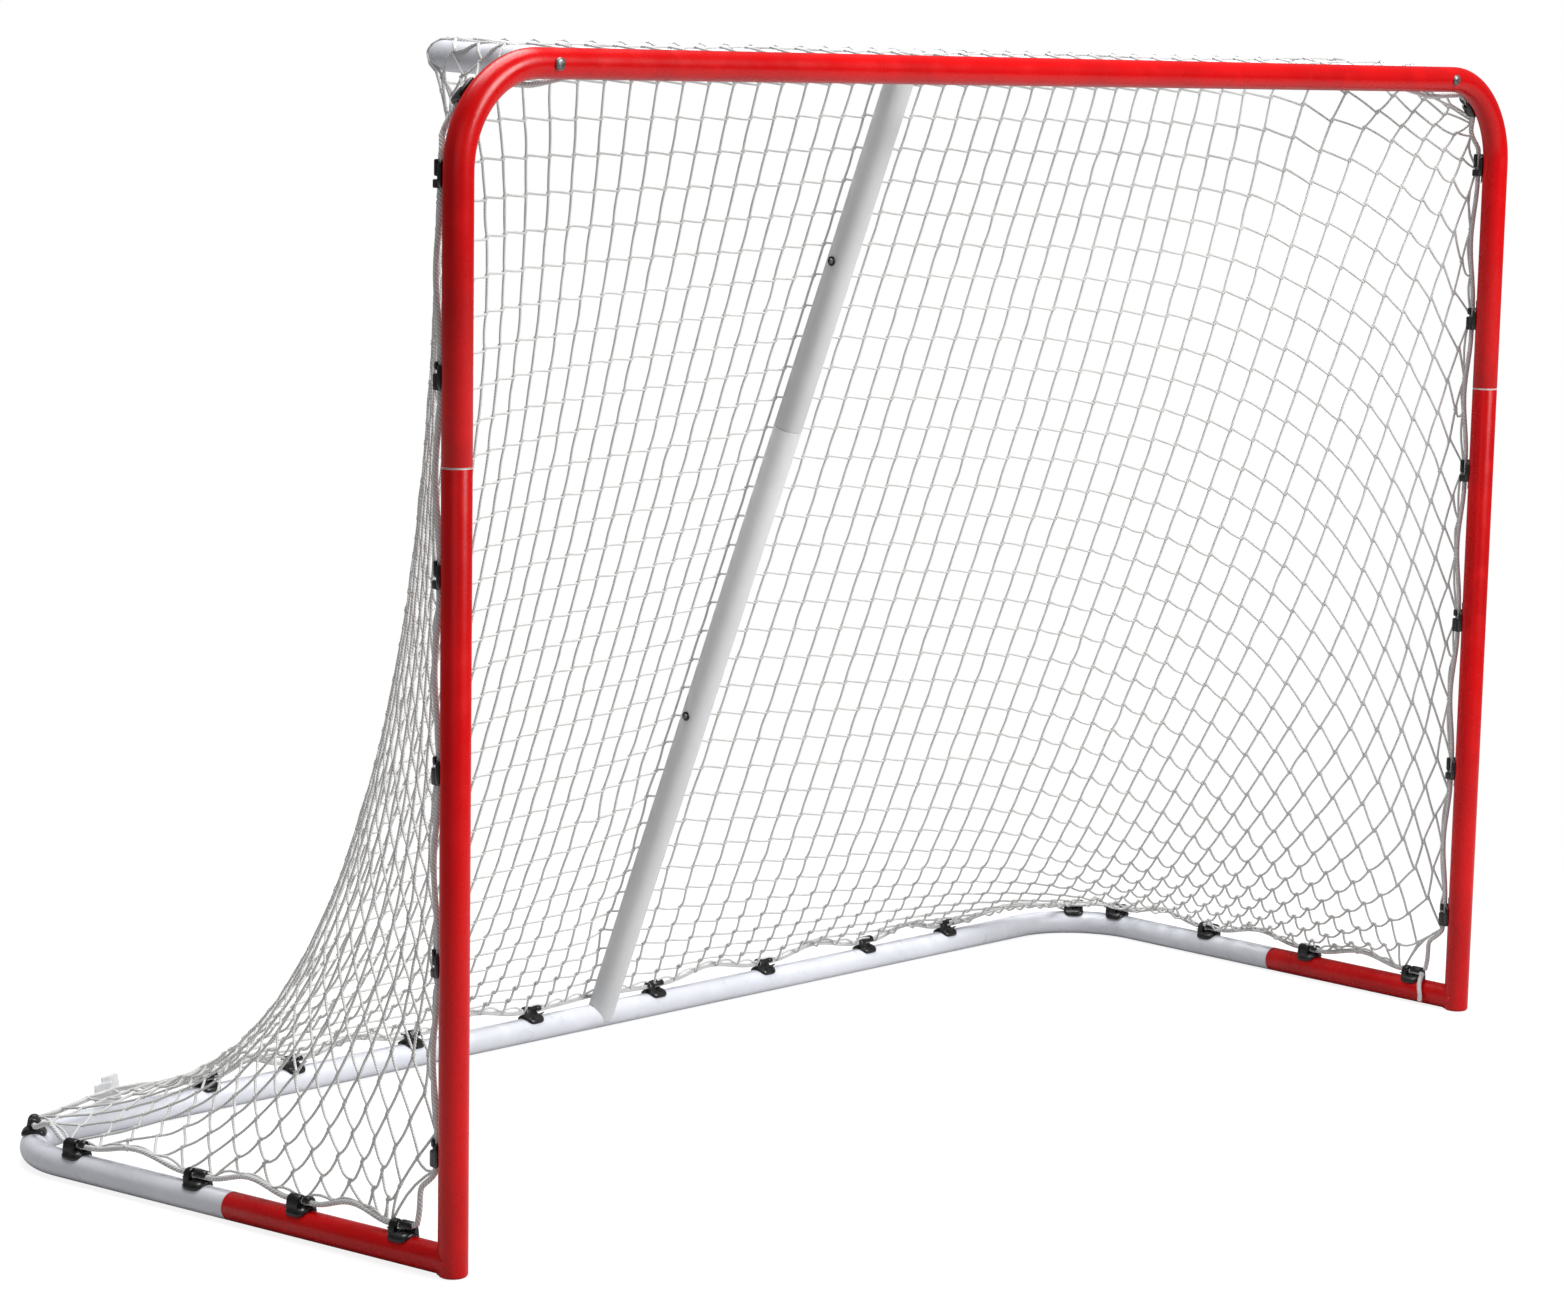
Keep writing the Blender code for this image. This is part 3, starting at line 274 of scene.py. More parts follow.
def laid_fibre(name, groove_shade_and_soil_colour, pale, pitch, starts, depth):
    """Twisted white polyester: matt, with slanting ridges of yarn and painted shade in the grooves between
    them: grey there, paler on the ridges.

    pitch is the length of one full turn of the twist in metres, and starts is the number of yarns in it.
    The mesh carries the length run so far as 'along' and the turn round the strand as 'around'."""
    made, tree, shader, place = finish(name)
    along = add(tree, "ShaderNodeAttribute", attribute_name="along").outputs["Fac"]
    around = add(tree, "ShaderNodeAttribute", attribute_name="around").outputs["Fac"]
    turns = add(tree, "ShaderNodeMath", {0: along, 1: 1 / pitch}, operation="MULTIPLY")
    phase = add(tree, "ShaderNodeMath", {0: turns, 1: around}, operation="ADD")
    angle = add(tree, "ShaderNodeMath", {0: phase, 1: 2 * math.pi * starts}, operation="MULTIPLY")
    ridge = add(tree, "ShaderNodeMath", {0: angle}, operation="SINE")
    soil = add(tree, "ShaderNodeTexNoise", {"Vector": place, "Scale": 60.0, "Detail": 3.0})
    fuzz = add(tree, "ShaderNodeTexNoise", {"Vector": place, "Scale": 1800.0, "Detail": 2.0})
    # Painted light and shade of the twist: paler on the ridges, darker in the grooves, with soil (real dirt)
    # laid over at random.
    lit = add(tree, "ShaderNodeMapRange", span(ridge, -1.0, 1.0))
    shade = add(tree, "ShaderNodeMath", {0: lit, 1: soil}, operation="ADD")
    share = add(tree, "ShaderNodeMapRange", span(shade, 0.35, 1.35))
    colour = add(tree, "ShaderNodeMix", between(share, groove_shade_and_soil_colour, pale), data_type="RGBA")
    gloss = add(tree, "ShaderNodeMapRange", span(fuzz, 0.3, 0.7, 0.62, 0.85))
    height = add(tree, "ShaderNodeMath", {0: fuzz, 1: 0.25, 2: ridge}, operation="MULTIPLY_ADD")
    bump = add(tree, "ShaderNodeBump", {"Height": height, "Strength": 0.6, "Distance": depth})
    feed(tree, shader, {"Base Color": colour, "Roughness": gloss, "Normal": bump, "Sheen Weight": 0.15})
    return made


def woven_label():
    """Blank woven polyester label: smooth white cloth in plain weave.

    Its threads are about 0.2 mm apart and are drawn 1.2 mm apart, so that they show."""
    made, tree, shader, place = finish("blank_woven_label")
    warp = add(tree, "ShaderNodeTexWave", {"Vector": place, "Scale": 260.0}, bands_direction="X")
    weft = add(tree, "ShaderNodeTexWave", {"Vector": place, "Scale": 260.0}, bands_direction="Z")
    threads = {0: warp.outputs["Fac"], 1: weft.outputs["Fac"]}
    weave = add(tree, "ShaderNodeMath", threads, operation="MULTIPLY")
    # Painted shade of small creases: random patches that are a little darker on the cloth.
    crease_shade = add(tree, "ShaderNodeTexNoise", {"Vector": place, "Scale": 90.0, "Detail": 2.0})
    share = add(tree, "ShaderNodeMapRange", span(crease_shade, 0.35, 0.65))
    colour = add(tree, "ShaderNodeMix", between(share, "#D2D3D6", "#E6E7E9"), data_type="RGBA")
    gloss = add(tree, "ShaderNodeMapRange", span(weave, 0.0, 1.0, 0.6, 0.8))
    bump = add(tree, "ShaderNodeBump", {"Height": weave, "Strength": 0.3, "Distance": 0.0002})
    feed(tree, shader, {"Base Color": colour, "Roughness": gloss, "Normal": bump})
    return made


RED_COAT = powder_coat("red_powder_coat", "#B80105", "#CE0206", "#DF060B", 0.27, 0.05, 1.37)
WHITE_COAT = powder_coat("white_powder_coat", "#D8DAE2", "#E0E2E9", "#EEF0F4", 0.34, 0.12, 1.50)
GREY_COAT = powder_coat("grey_powder_coat", "#CFD0D1", "#D8D9DA", "#E0E0E1", 0.58, 0.05, 1.42)
WORN_LIP = worn_lip()
ZINC = zinc_plate()
BLACK_NYLON = black_plastic()
# The darker of each twine colour pair is the painted shade in the twist's grooves, and the paler is the
# painted light on its ridges.
TWINE = laid_fibre("white_polyester_twine", "#AFAFAE", "#DEDEDC", 0.007, 2, 0.00012)
ROPE = laid_fibre("white_braided_cord", "#B0B1B2", "#E4E4E3", 0.018, 4, 0.0004)
LABEL = woven_label()


# Mesh helpers


def mesh_from(name, build, smooth_angle=None):
    """A mesh from build(bm). With an angle its faces are smooth, with sharp edges from that angle on."""
    bm = bmesh.new()
    build(bm)
    mesh = bpy.data.meshes.new(name)
    bm.to_mesh(mesh)
    bm.free()
    if smooth_angle is not None:
        mesh.shade_smooth()
        mesh.set_sharp_from_angle(angle=math.radians(smooth_angle))
    return mesh


def stand(name, data):
    """A new object in the scene."""
    obj = bpy.data.objects.new(name, data)
    bpy.context.scene.collection.objects.link(obj)
    return obj


def piece(name, build, looks, replaced, smooth_angle=40):
    """A finished piece whose mesh comes from build(bm)."""
    mesh = mesh_from(name, build, smooth_angle)
    for look in looks:
        mesh.materials.append(look)
    return place_piece(name, mesh, replaced)


def place_piece(name, mesh, replaced):
    """A finished piece, riding on the goal in place of the CAD nodes that it replaces."""
    obj = stand(name, mesh)
    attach(obj, "root")
    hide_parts(*replaced)
    return obj


def circle(count, offset=0.0):
    """The angles of even steps round a circle."""
    return [2 * math.pi * (index + offset) / count for index in range(count)]


def bent_path(corners, steps=BEND_STEPS):
    """(place, direction) along straight runs that are joined by round bends."""
    corners = [Vector(corner) for corner in corners]
    path = [(corners[0], (corners[1] - corners[0]).normalized())]
    for before, corner, after in zip(corners, corners[1:], corners[2:]):
        into = (corner - before).normalized()
        onward = (after - corner).normalized()
        turn = into.angle(onward)
        axis = into.cross(onward).normalized()
        start = corner - into * BEND_R * math.tan(turn / 2)
        centre = start + axis.cross(into) * BEND_R
        for step in range(steps + 1):
            spin = Matrix.Rotation(turn * step / steps, 3, axis)
            path.append((centre + spin @ (start - centre), spin @ into))
    path.append((corners[-1], (corners[-1] - corners[-2]).normalized()))
    return path


def rings_along(bm, stations, side, sides):
    """One ring of points for each (place, direction, radius). side lies across the first direction."""
    rings = []
    last = None
    for place, direction, radius in stations:
        direction = Vector(direction).normalized()
        if last is not None:
            side = last.rotation_difference(direction) @ side
        last = direction
        across = (side - direction * side.dot(direction)).normalized()
        up = direction.cross(across)
        spokes = [math.cos(turn) * across + math.sin(turn) * up for turn in circle(sides, 0.5)]
        rings.append([bm.verts.new(Vector(place) + radius * spoke) for spoke in spokes])
    return rings


def skin(bm, rings, closed=True):
    """Faces between neighbouring rings, and over both ends of a closed shape."""
    for low, high in zip(rings, rings[1:]):
        count = len(low)
        for index in range(count):
            after = (index + 1) % count
            bm.faces.new([low[index], low[after], high[after], high[index]])
    if closed:
        bm.faces.new(rings[0][::-1])
        bm.faces.new(rings[-1])


def turned(bm, stations, side, sides=TUBE_SIDES):
    """A closed shape along the stations. Stations may run back inside themselves, which makes a bore."""
    rings = rings_along(bm, stations, Vector(side), sides)
    skin(bm, rings)
    return rings


def open_end(end, direction, radius):
    """Stations from a bore's floor out to the rim of a cut tube end and round onto the tube.

    direction points into the tube."""
    direction = Vector(direction)
    bore = radius - TUBE_WALL
    return [
        (end + direction * BORE_DEPTH, direction, bore),
        (end, direction, bore),
        (end, direction, radius - LIP),
        (end + direction * LIP * 0.3, direction, radius - LIP * 0.3),
        (end + direction * LIP, direction, radius),
    ]


def swaged_end(end, direction, radius):
    """Stations from the tip of a narrowed tube end to the full tube, which is where direction points."""
    direction = Vector(direction)
    slim = radius - TUBE_WALL - SLIP
    tip = end - direction * SPIGOT_LENGTH
    return [
        (tip, direction, slim - 0.001),
        (tip + direction * 0.002, direction, slim),
        (end, direction, slim),
        (end, direction, radius - LIP),
        (end + direction * LIP * 0.3, direction, radius - LIP * 0.3),
        (end + direction * LIP, direction, radius),
    ]


def reverse(stations):
    """The same stations from the other end."""
    return [(place, -Vector(direction), radius) for place, direction, radius in stations[::-1]]


def cope(ring, direction, axis_place, axis, radius):
    """Slides the points of a tube's end along the tube until they meet a round bar."""
    axis = Vector(axis).normalized()
    flat = direction - axis * direction.dot(axis)
    for vert in ring:
        away = vert.co - Vector(axis_place)
        away -= axis * away.dot(axis)
        a = flat.dot(flat)
        b = away.dot(flat)
        c = away.dot(away) - radius**2
        root = math.sqrt(max(b * b - a * c, 0.0))
        vert.co += direction * (-b - root) / a


def mark_rims(bm, planes):
    """Gives the faces of a seam's rim the second material."""
    for face in bm.faces:
        middle = face.calc_center_median()
        if any(abs((middle - place).dot(direction)) < RIM_REACH for place, direction in planes):
            face.material_index = 1


# Tubes of the frame


def post_foot(side):
    """Where a post's centre line meets the leg's."""
    return Vector((SIDES[side] * POST_X, POST_Y, TUBE_R))


def leg_direction(side):
    return (Vector((SIDES[side] * CORNER_X, RAIL_Y, TUBE_R)) - post_foot(side)).normalized()


def arm_start(side):
    """Where the centre line of a shelf arm meets the crossbar's."""
    return Vector((SIDES[side] * ARM_X, POST_Y, CROSSBAR_Z))


def arm_direction():
    return Vector((0, SHELF_Y - POST_Y, SHELF_Z - CROSSBAR_Z)).normalized()


def brace_ends():
    """Where the brace's centre line meets the rear rail's and the shelf's."""
    return Vector((0, RAIL_Y, TUBE_R)), Vector((0, SHELF_Y, SHELF_Z))


def brace_direction():
    low, high = brace_ends()
    return (high - low).normalized()


def brace_at(height):
    """The point of the brace's centre line at a height."""
    low, high = brace_ends()
    return low.lerp(high, (height - low.z) / (high.z - low.z))


def shelf_corners():
    """The ends and the corners of the shelf's centre line."""
    return [arm_start("left"), (-ARM_X, SHELF_Y, SHELF_Z), (ARM_X, SHELF_Y, SHELF_Z), arm_start("right")]


def bend_stations(corners):
    """Stations of a bent tube between its two ends."""
    return [(place, direction, TUBE_R) for place, direction in bent_path(corners)[1:-1]]


def front_frame():
    """Crossbar and upper posts, one bent tube."""
    ends = {side: Vector((SIDES[side] * POST_X, POST_Y, POST_SEAM_Z + GAP)) for side in SIDES}
    corners = [ends["left"], (-POST_X, POST_Y, CROSSBAR_Z), (POST_X, POST_Y, CROSSBAR_Z), ends["right"]]
    stations = open_end(ends["left"], UP, TUBE_R) + bend_stations(corners)
    stations += reverse(open_end(ends["right"], UP, TUBE_R))

    def build(bm):
        turned(bm, stations, BACK)
        mark_rims(bm, [(ends["left"], UP)])

    piece("front_frame_tube", build, [RED_COAT, WORN_LIP], ["front_frame"])


def lower_post(side):
    """Foot, post and stub. The stub is notched round the post, with a thin painted weld round the joint."""
    foot = post_foot(side)
    along = leg_direction(side)
    floor = Vector((foot.x, foot.y, 0))
    seam = Vector((foot.x, foot.y, POST_SEAM_Z))
    upright = []
    for step in range(9):
        turn = math.pi / 2 * step / 8
        rise = FOOT_ROUND * (1 - math.cos(turn))
        upright.append((floor + UP * rise, UP, TUBE_R - FOOT_ROUND * (1 - math.sin(turn))))
    upright += [(floor + UP * 0.2, UP, TUBE_R)] + reverse(swaged_end(seam, -UP, TUBE_R))
    end = foot + along * (STUB_LENGTH - GAP)
    stub = [(foot, along, TUBE_R), (foot + along * 0.1, along, TUBE_R)]
    stub += reverse(open_end(end, -along, TUBE_R))

    def build(bm):
        turned(bm, upright, ACROSS)
        rings = rings_along(bm, stub, UP, TUBE_SIDES)
        for vert in rings[0]:
            vert.co += along * TUBE_R * NOTCH_LEAD
        cope(rings[0], -along, foot, UP, TUBE_R - 0.0002)
        for vert in rings[0]:
            away = vert.co - foot
            away -= UP * away.dot(UP)
            if away.dot(along) < 0:
                vert.co += along * 2 * abs(away.dot(along))
        skin(bm, rings)
        weld_bead(bm, [vert.co.copy() for vert in rings[0]], foot)
        mark_rims(bm, [(seam, UP)])

    piece(f"lower_post_{side}_tube", build, [RED_COAT, WORN_LIP], [f"lower_post_{side}"])


def weld_bead(bm, line, centre):
    """A small round bead along a closed line of points, a little uneven and never under the floor."""
    count = len(line)
    rings = []
    for index, point in enumerate(line):
        direction = (line[(index + 1) % count] - line[index - 1]).normalized()
        out = (point - centre).normalized()
        out = (out - direction * out.dot(direction)).normalized()
        other = direction.cross(out)
        swell = WELD_R * (1 + 0.15 * math.sin(index * 2.4))
        ring = []
        for turn in circle(8):
            place = point + swell * (math.cos(turn) * out + math.sin(turn) * other)
            place.z = max(place.z, GAP)
            ring.append(bm.verts.new(place))
        rings.append(ring)
    skin(bm, rings + [rings[0]], closed=False)


def base_frame():
    """Rear rail and the rear parts of both legs, one bent tube with a narrowed end in each stub."""
    ends = {side: post_foot(side) + leg_direction(side) * STUB_LENGTH for side in SIDES}
    corners = [ends["left"], (-CORNER_X, RAIL_Y, TUBE_R), (CORNER_X, RAIL_Y, TUBE_R), ends["right"]]
    stations = swaged_end(ends["left"], leg_direction("left"), TUBE_R) + bend_stations(corners)
    stations += reverse(swaged_end(ends["right"], leg_direction("right"), TUBE_R))
    piece("base_tube", lambda bm: turned(bm, stations, UP), [WHITE_COAT], ["base_frame"])


def top_shelf():
    """A shallow bent tube behind the crossbar, with both ends notched round the crossbar's back."""
    path = bent_path(shelf_corners())
    lead = arm_direction() * TUBE_R * NOTCH_LEAD
    stations = [(path[0][0] + lead, path[0][1], TUBE_R), *bend_stations(shelf_corners()),
                (path[-1][0] + lead, path[-1][1], TUBE_R)]

    def build(bm):
        rings = turned(bm, stations, arm_direction().cross(ACROSS).normalized())
        for ring in (rings[0], rings[-1]):
            cope(ring, -arm_direction(), (0, POST_Y, CROSSBAR_Z), ACROSS, TUBE_R + GAP)

    piece("shelf_tube", build, [WHITE_COAT], ["top_shelf"])


def brace():
    """Centre brace in two halves, each notched round the rail that it stands on."""
    low, high = brace_ends()
    along = brace_direction()
    seam = brace_at(BRACE_SEAM_Z)

    def lower(bm):
        stations = [(low + along * BRACE_R * NOTCH_LEAD, along, BRACE_R), (low + along * 0.2, along, BRACE_R)]
        stations += reverse(open_end(seam - along * GAP, -along, BRACE_R))
        rings = turned(bm, stations, ACROSS)
        cope(rings[0], -along, low, ACROSS, TUBE_R + GAP)
        mark_rims(bm, [(seam, along)])

    def upper(bm):
        stations = swaged_end(seam, along, BRACE_R)
        stations.append((high - along * 0.1, along, BRACE_R))
        stations.append((high - along * BRACE_R * NOTCH_LEAD, along, BRACE_R))
        rings = turned(bm, stations, ACROSS)
        cope(rings[-1], along, high, ACROSS, TUBE_R + GAP)
        mark_rims(bm, [(seam, along)])

    for half, build in (("lower", lower), ("upper", upper)):
        piece(f"brace_{half}_tube", build, [GREY_COAT, WORN_LIP], [f"brace_{half}"])


# Fasteners


def cross_recess(bm, centre, direction, across, reach, depth, width):
    """A cross in the middle of a head: four sunk arms with sloping walls, laid as facets on the crown."""
    up = direction.cross(across)
    for turn in circle(4):
        spin = Matrix.Rotation(turn, 3, direction)
        arm, beside = spin @ across, spin @ up
        rim = [
            centre + beside * -width,
            centre + arm * reach + beside * -width * 0.8,
            centre + arm * reach + beside * width * 0.8,
            centre + beside * width,
        ]
        verts = [bm.verts.new(point) for point in rim]
        depths = (depth, depth * 0.25, depth * 0.25, depth)
        sunk = [bm.verts.new(point + direction * sink) for point, sink in zip(rim, depths)]
        skin(bm, [verts, sunk], closed=False)
        bm.faces.new(sunk[::-1])
        bm.faces.new(verts)


def dome(seat, direction, diameter, height, rim, flat, steps):
    """Stations of a round head from its crown down to its rim. direction points down the screw.

    rim is the height of the rim, and flat is the crown's flat part as a share of the diameter."""
    stations = []
    for step in range(steps + 1):
        turn = math.pi / 2 * step / steps
        rise = rim + (height - rim) * math.cos(turn)
        radius = diameter / 2 * (flat + (1 - flat) * math.sin(turn))
        stations.append((seat - direction * rise, direction, radius))
    return stations


def crossbar_bolt(side):
    """Low round head with a cross recess, and a shank through the crossbar into the shelf's insert."""
    along = arm_direction()
    head = arm_start(side) - along * (TUBE_R + GAP)
    stations = dome(head, along, BOLT_HEAD_D, BOLT_HEAD_H, rim=BOLT_HEAD_H * 0.25, flat=0.20, steps=9)
    stations += [(head, along, BOLT_HEAD_D / 2), (head, along, BOLT_D / 2)]
    for thread in range(24):
        place = head + along * (BOLT_SHANK + THREAD_STEP * thread)
        stations.append((place, along, BOLT_D / 2 - (THREAD_DEPTH if thread % 2 else 0.0)))

    def build(bm):
        turned(bm, stations, ACROSS, 32)
        crown_top = head - along * (BOLT_HEAD_H * 1.01)
        slant = Vector((0.92, 0, 0.39))
        cross_recess(bm, crown_top, along, slant, reach=0.0026, depth=0.0012, width=0.00055)

    looks = [ZINC, BLACK_NYLON]
    piece(f"crossbar_bolt_{side}_head", build, looks, [f"crossbar_bolt_{side}"], 30)


def brace_screw(name):
    """Small domed screw with a black ring under its head."""
    along = brace_direction()
    surface = brace_at(BRACE_SCREW_HEIGHTS[name]) - ACROSS * (BRACE_R + GAP)
    washer_top = surface - ACROSS * WASHER_T
    neck = washer_top - ACROSS * GAP
    stations = dome(neck, ACROSS, SCREW_HEAD_D, SCREW_HEAD_H, rim=0.0, flat=0.25, steps=7)
    stations += [(neck, ACROSS, SCREW_R), (surface + ACROSS * SCREW_REACH, ACROSS, SCREW_R)]

    def screw(bm):
        turned(bm, stations, along, 24)
        crown_top = neck - ACROSS * (SCREW_HEAD_H * 1.02)
        cross_recess(bm, crown_top, ACROSS, along, reach=0.0015, depth=0.0008, width=0.0003)

    def washer(bm):
        profile = [
            (surface, WASHER_BORE_R), (washer_top + ACROSS * 0.0002, WASHER_BORE_R), (washer_top, 0.0030),
            (washer_top, WASHER_D * 0.42), (washer_top + ACROSS * 0.0003, WASHER_D * 0.48),
            (surface - ACROSS * 0.0002, WASHER_D / 2), (surface, WASHER_D / 2),
        ]
        rings = rings_along(bm, [(place, -ACROSS, radius) for place, radius in profile], along, 32)
        skin(bm, rings[::-1] + [rings[-1]], closed=False)

    piece(f"brace_screw_{name}_head", screw, [ZINC], [f"brace_screw_{name}"], 30)
    piece(f"brace_ring_{name}", washer, [BLACK_NYLON], [f"brace_washer_{name}"], 30)


# Net clips


def saddle_point(x, arc, height):
    """A point over the tube: x along it, arc round it and height off its surface."""
    radius = TUBE_R + GAP + height
    return Vector((x, radius * math.sin(arc / TUBE_R), radius * math.cos(arc / TUBE_R)))


def saddle_skin(bm, sections):
    """A closed shape through sections whose points are given as (x, arc, height) over the tube."""
    skin(bm, [[bm.verts.new(saddle_point(*point)) for point in section] for section in sections])


def squared(value):
    """A sine or cosine drawn outwards, so that a circle becomes an oblong with rounded corners."""
    return math.copysign(abs(value) ** 0.55, value)


def clip_pad(bm):
    """Moulded pad that saddles the tube: an oblong with rounded corners and a crowned top."""
    levels = [(0.36, 0.0045), (0.62, 0.0044), (0.80, 0.0040), (0.91, 0.0031), (0.975, 0.0018), (1.0, 0.0007),
              (0.98, 0.0)]
    sections = []
    for scale, height in levels:
        length, width = CLIP_LENGTH / 2 * scale, PAD_WIDTH / 2 * scale
        sections.append([(squared(math.cos(turn)) * length, squared(math.sin(turn)) * width, height)
                         for turn in circle(28)])
    saddle_skin(bm, sections)


def clip_hood(bm, mirror, start, end):
    """A wall that rises from one side of the pad and closes over the rope, open on the other side."""
    rope_z = TUBE_R + ROPE_HEIGHT
    outline = [(0.0022, TUBE_R + 0.0030), (0.0086, TUBE_R - 0.0018), (0.0090, TUBE_R + 0.0012),
               (0.0086, TUBE_R + 0.0048)]
    for step in range(10):
        turn = math.radians(20 + 158 * step / 9)
        radius = HOOK_BORE + HOOK_T + 0.0008 * math.cos(turn) - 0.0010 * max(step - 6, 0) / 3
        outline.append((radius * math.cos(turn), rope_z + radius * math.sin(turn)))
    for step in range(12):
        turn = math.radians(182 - 232 * step / 11)
        outline.append((HOOK_BORE * math.cos(turn), rope_z + HOOK_BORE * math.sin(turn)))
    round_ends = ((start, 0.90), (start + 0.0006, 0.97), (start + 0.0016, 1.0), (end - 0.0016, 1.0),
                  (end - 0.0006, 0.97), (end, 0.90))
    middle_y, middle_z = 0.0045 * mirror, rope_z - 0.001
    rings = []
    for x, scale in round_ends:
        points = [(x, middle_y + (mirror * y - middle_y) * scale, middle_z + (z - middle_z) * scale)
                  for y, z in outline]
        rings.append([bm.verts.new(point) for point in points])
    skin(bm, rings)


def clip_tongue(bm):
    """Thin pointed tongue at one end of the pad."""
    sections = []
    for step in range(7):
        share = step / 6
        x = -CLIP_LENGTH / 2 + 0.003 - 0.012 * share
        half = 0.0030 * (1 - share) ** 0.8 + 0.0005
        thick = 0.0011 * (1 - 0.7 * share)
        middle = 0.0013 + 0.002 * share**2
        sections.append([(x, half * math.cos(turn), middle + thick * math.sin(turn)) for turn in circle(8)])
    saddle_skin(bm, sections)


def clip_stud(bm):
    """Head of the push-in stud that holds the clip, low in the middle of the pad."""
    levels = ((0.0012, 0.0053), (0.0023, 0.0051), (0.0030, 0.0046), (0.0031, 0.0040))
    saddle_skin(bm, [[(radius * math.cos(turn), radius * math.sin(turn), height) for turn in circle(14)]
                     for radius, height in levels])


def clip_ribs(bm):
    """Two low ribs across the pad, outside the hooks' feet."""
    for x in (-0.00256, 0.00256):
        for side in (-1, 1):
            sections = []
            for step in range(5):
                arc = side * (0.0042 + 0.0042 * step / 4)
                middle = 0.0040 - 0.0018 * (step / 4) ** 2
                sections.append([(x + 0.0008 * math.cos(turn), arc, middle + 0.0009 * math.sin(turn))
                                 for turn in circle(6)])
            saddle_skin(bm, sections)


def clip_shape():
    """One clip over a tube that runs along X: pad, two hoods on opposite sides, tongue, stud and ribs."""
    def build(bm):
        clip_pad(bm)
        clip_hood(bm, 1, -0.0025, CLIP_LENGTH / 2 - 0.0002)
        clip_hood(bm, -1, -CLIP_LENGTH / 2 + 0.0002, -0.0055)
        clip_tongue(bm)
        clip_stud(bm)
        clip_ribs(bm)
        bmesh.ops.recalc_face_normals(bm, faces=bm.faces)

    return stand("clip_shape", mesh_from("clip_shape", build, 42))


def hold(name, place, direction, normal, lift=0.0):
    """A place where the rope runs straight: a clip on a tube, or with no name a point of the rope."""
    return {"name": name, "place": place, "direction": direction, "normal": normal, "lift": lift}


def anchor(held):
    """Where the rope's axis passes."""
    if not held["name"]:
        return held["place"]
    return held["place"] + held["normal"] * (TUBE_R + held["lift"] + ROPE_HEIGHT)


def at_depth(path, depth):
    """(place, direction, whether a bend is near) where a path from the front reaches a Y."""
    for index, ((start, _), (end, _)) in enumerate(zip(path, path[1:])):
        if end.y >= depth:
            place = start.lerp(end, (depth - start.y) / (end.y - start.y))
            on_bend = index > 0 or (path[1][0] - place).length < CLIP_LENGTH / 2
            return place, (end - start).normalized(), on_bend
    return path[-1][0], path[-1][1], True


def half_route(side):
    """The rope's holds, from the middle of the crossbar by one side to the middle of the rear rail."""
    sign = SIDES[side]
    out = Vector((sign, 0, 0))
    behind_bar = POST_Y + TUBE_R + ROPE_HEIGHT
    route = [hold("", Vector((0, behind_bar, CROSSBAR_Z)), out, BACK)]
    for index, x in enumerate(CROSSBAR_CLIPS, 1):
        route.append(hold(f"clip_crossbar_{side}_{index}", Vector((sign * x, POST_Y, CROSSBAR_Z)), out, BACK))
    under_arm = CROSSBAR_Z - (TUBE_R + ROPE_R + 0.003)
    route.append(hold("", Vector((sign * ARM_X, behind_bar, under_arm)), out, BACK))
    hub = Vector((sign * (POST_X - BEND_R), POST_Y, CROSSBAR_Z - BEND_R))
    spoke = Vector((sign, 0, 1)).normalized()
    downhill = Vector((sign, 0, -1)).normalized()
    route.append(hold(f"clip_top_corner_{side}", hub + spoke * BEND_R, downhill, BACK, BEND_CLIP_LIFT))
    for index in range(6, 0, -1):
        height = POST_CLIP_FIRST + POST_CLIP_PITCH * (index - 1)
        lift = BEND_CLIP_LIFT if height + CLIP_LENGTH / 2 > CROSSBAR_Z - BEND_R else 0.0
        place = Vector((sign * POST_X, POST_Y, height))
        route.append(hold(f"clip_post_{side}_{index}", place, -UP, BACK, lift))
    base = bent_path([post_foot(side), (sign * CORNER_X, RAIL_Y, TUBE_R), (0, RAIL_Y, TUBE_R)], steps=6)
    for index, depth in enumerate(LEG_CLIPS[side], 1):
        place, along, on_bend = at_depth(base, POST_Y + depth)
        route.append(hold(f"clip_leg_{side}_{index}", place, along, UP, BEND_CLIP_LIFT if on_bend else 0.0))
    place, along = base[4]
    route.append(hold(f"clip_rear_corner_{side}", place, along, UP, BEND_CLIP_LIFT))
    for index, x in enumerate(sorted((abs(x) for x in RAIL_CLIPS if x * sign > 0), reverse=True), 1):
        route.append(hold(f"clip_rail_{side}_{index}", Vector((sign * x, RAIL_Y, TUBE_R)), -out, UP))
    height = 2 * TUBE_R + ROPE_HEIGHT
    depth = brace_at(height).y + BRACE_R / brace_direction().z + ROPE_R + 0.0015
    route.append(hold("", Vector((0, depth, height)), -out, UP))
    return route


def stretch(before, after, standoff=0.0, steps=14):
    """Points from one hold to the next. Between two clips the rope bows off the tube."""
    leave = anchor(before) + before["direction"] * (CLIP_REACH if before["name"] else 0.0)
    arrive = anchor(after) - after["direction"] * (CLIP_REACH if after["name"] else 0.0)
    bow = 0.0
    if before["name"] and after["name"]:
        bow = SCALLOP["front" if after["normal"].y > 0.5 else "base"]
    points = []
    for step in range(steps + 1):
        share = step / steps
        normal = before["normal"].lerp(after["normal"], share).normalized()
        points.append(leave.lerp(arrive, share) + normal * (standoff + bow * math.sin(math.pi * share) ** 2))
    return points


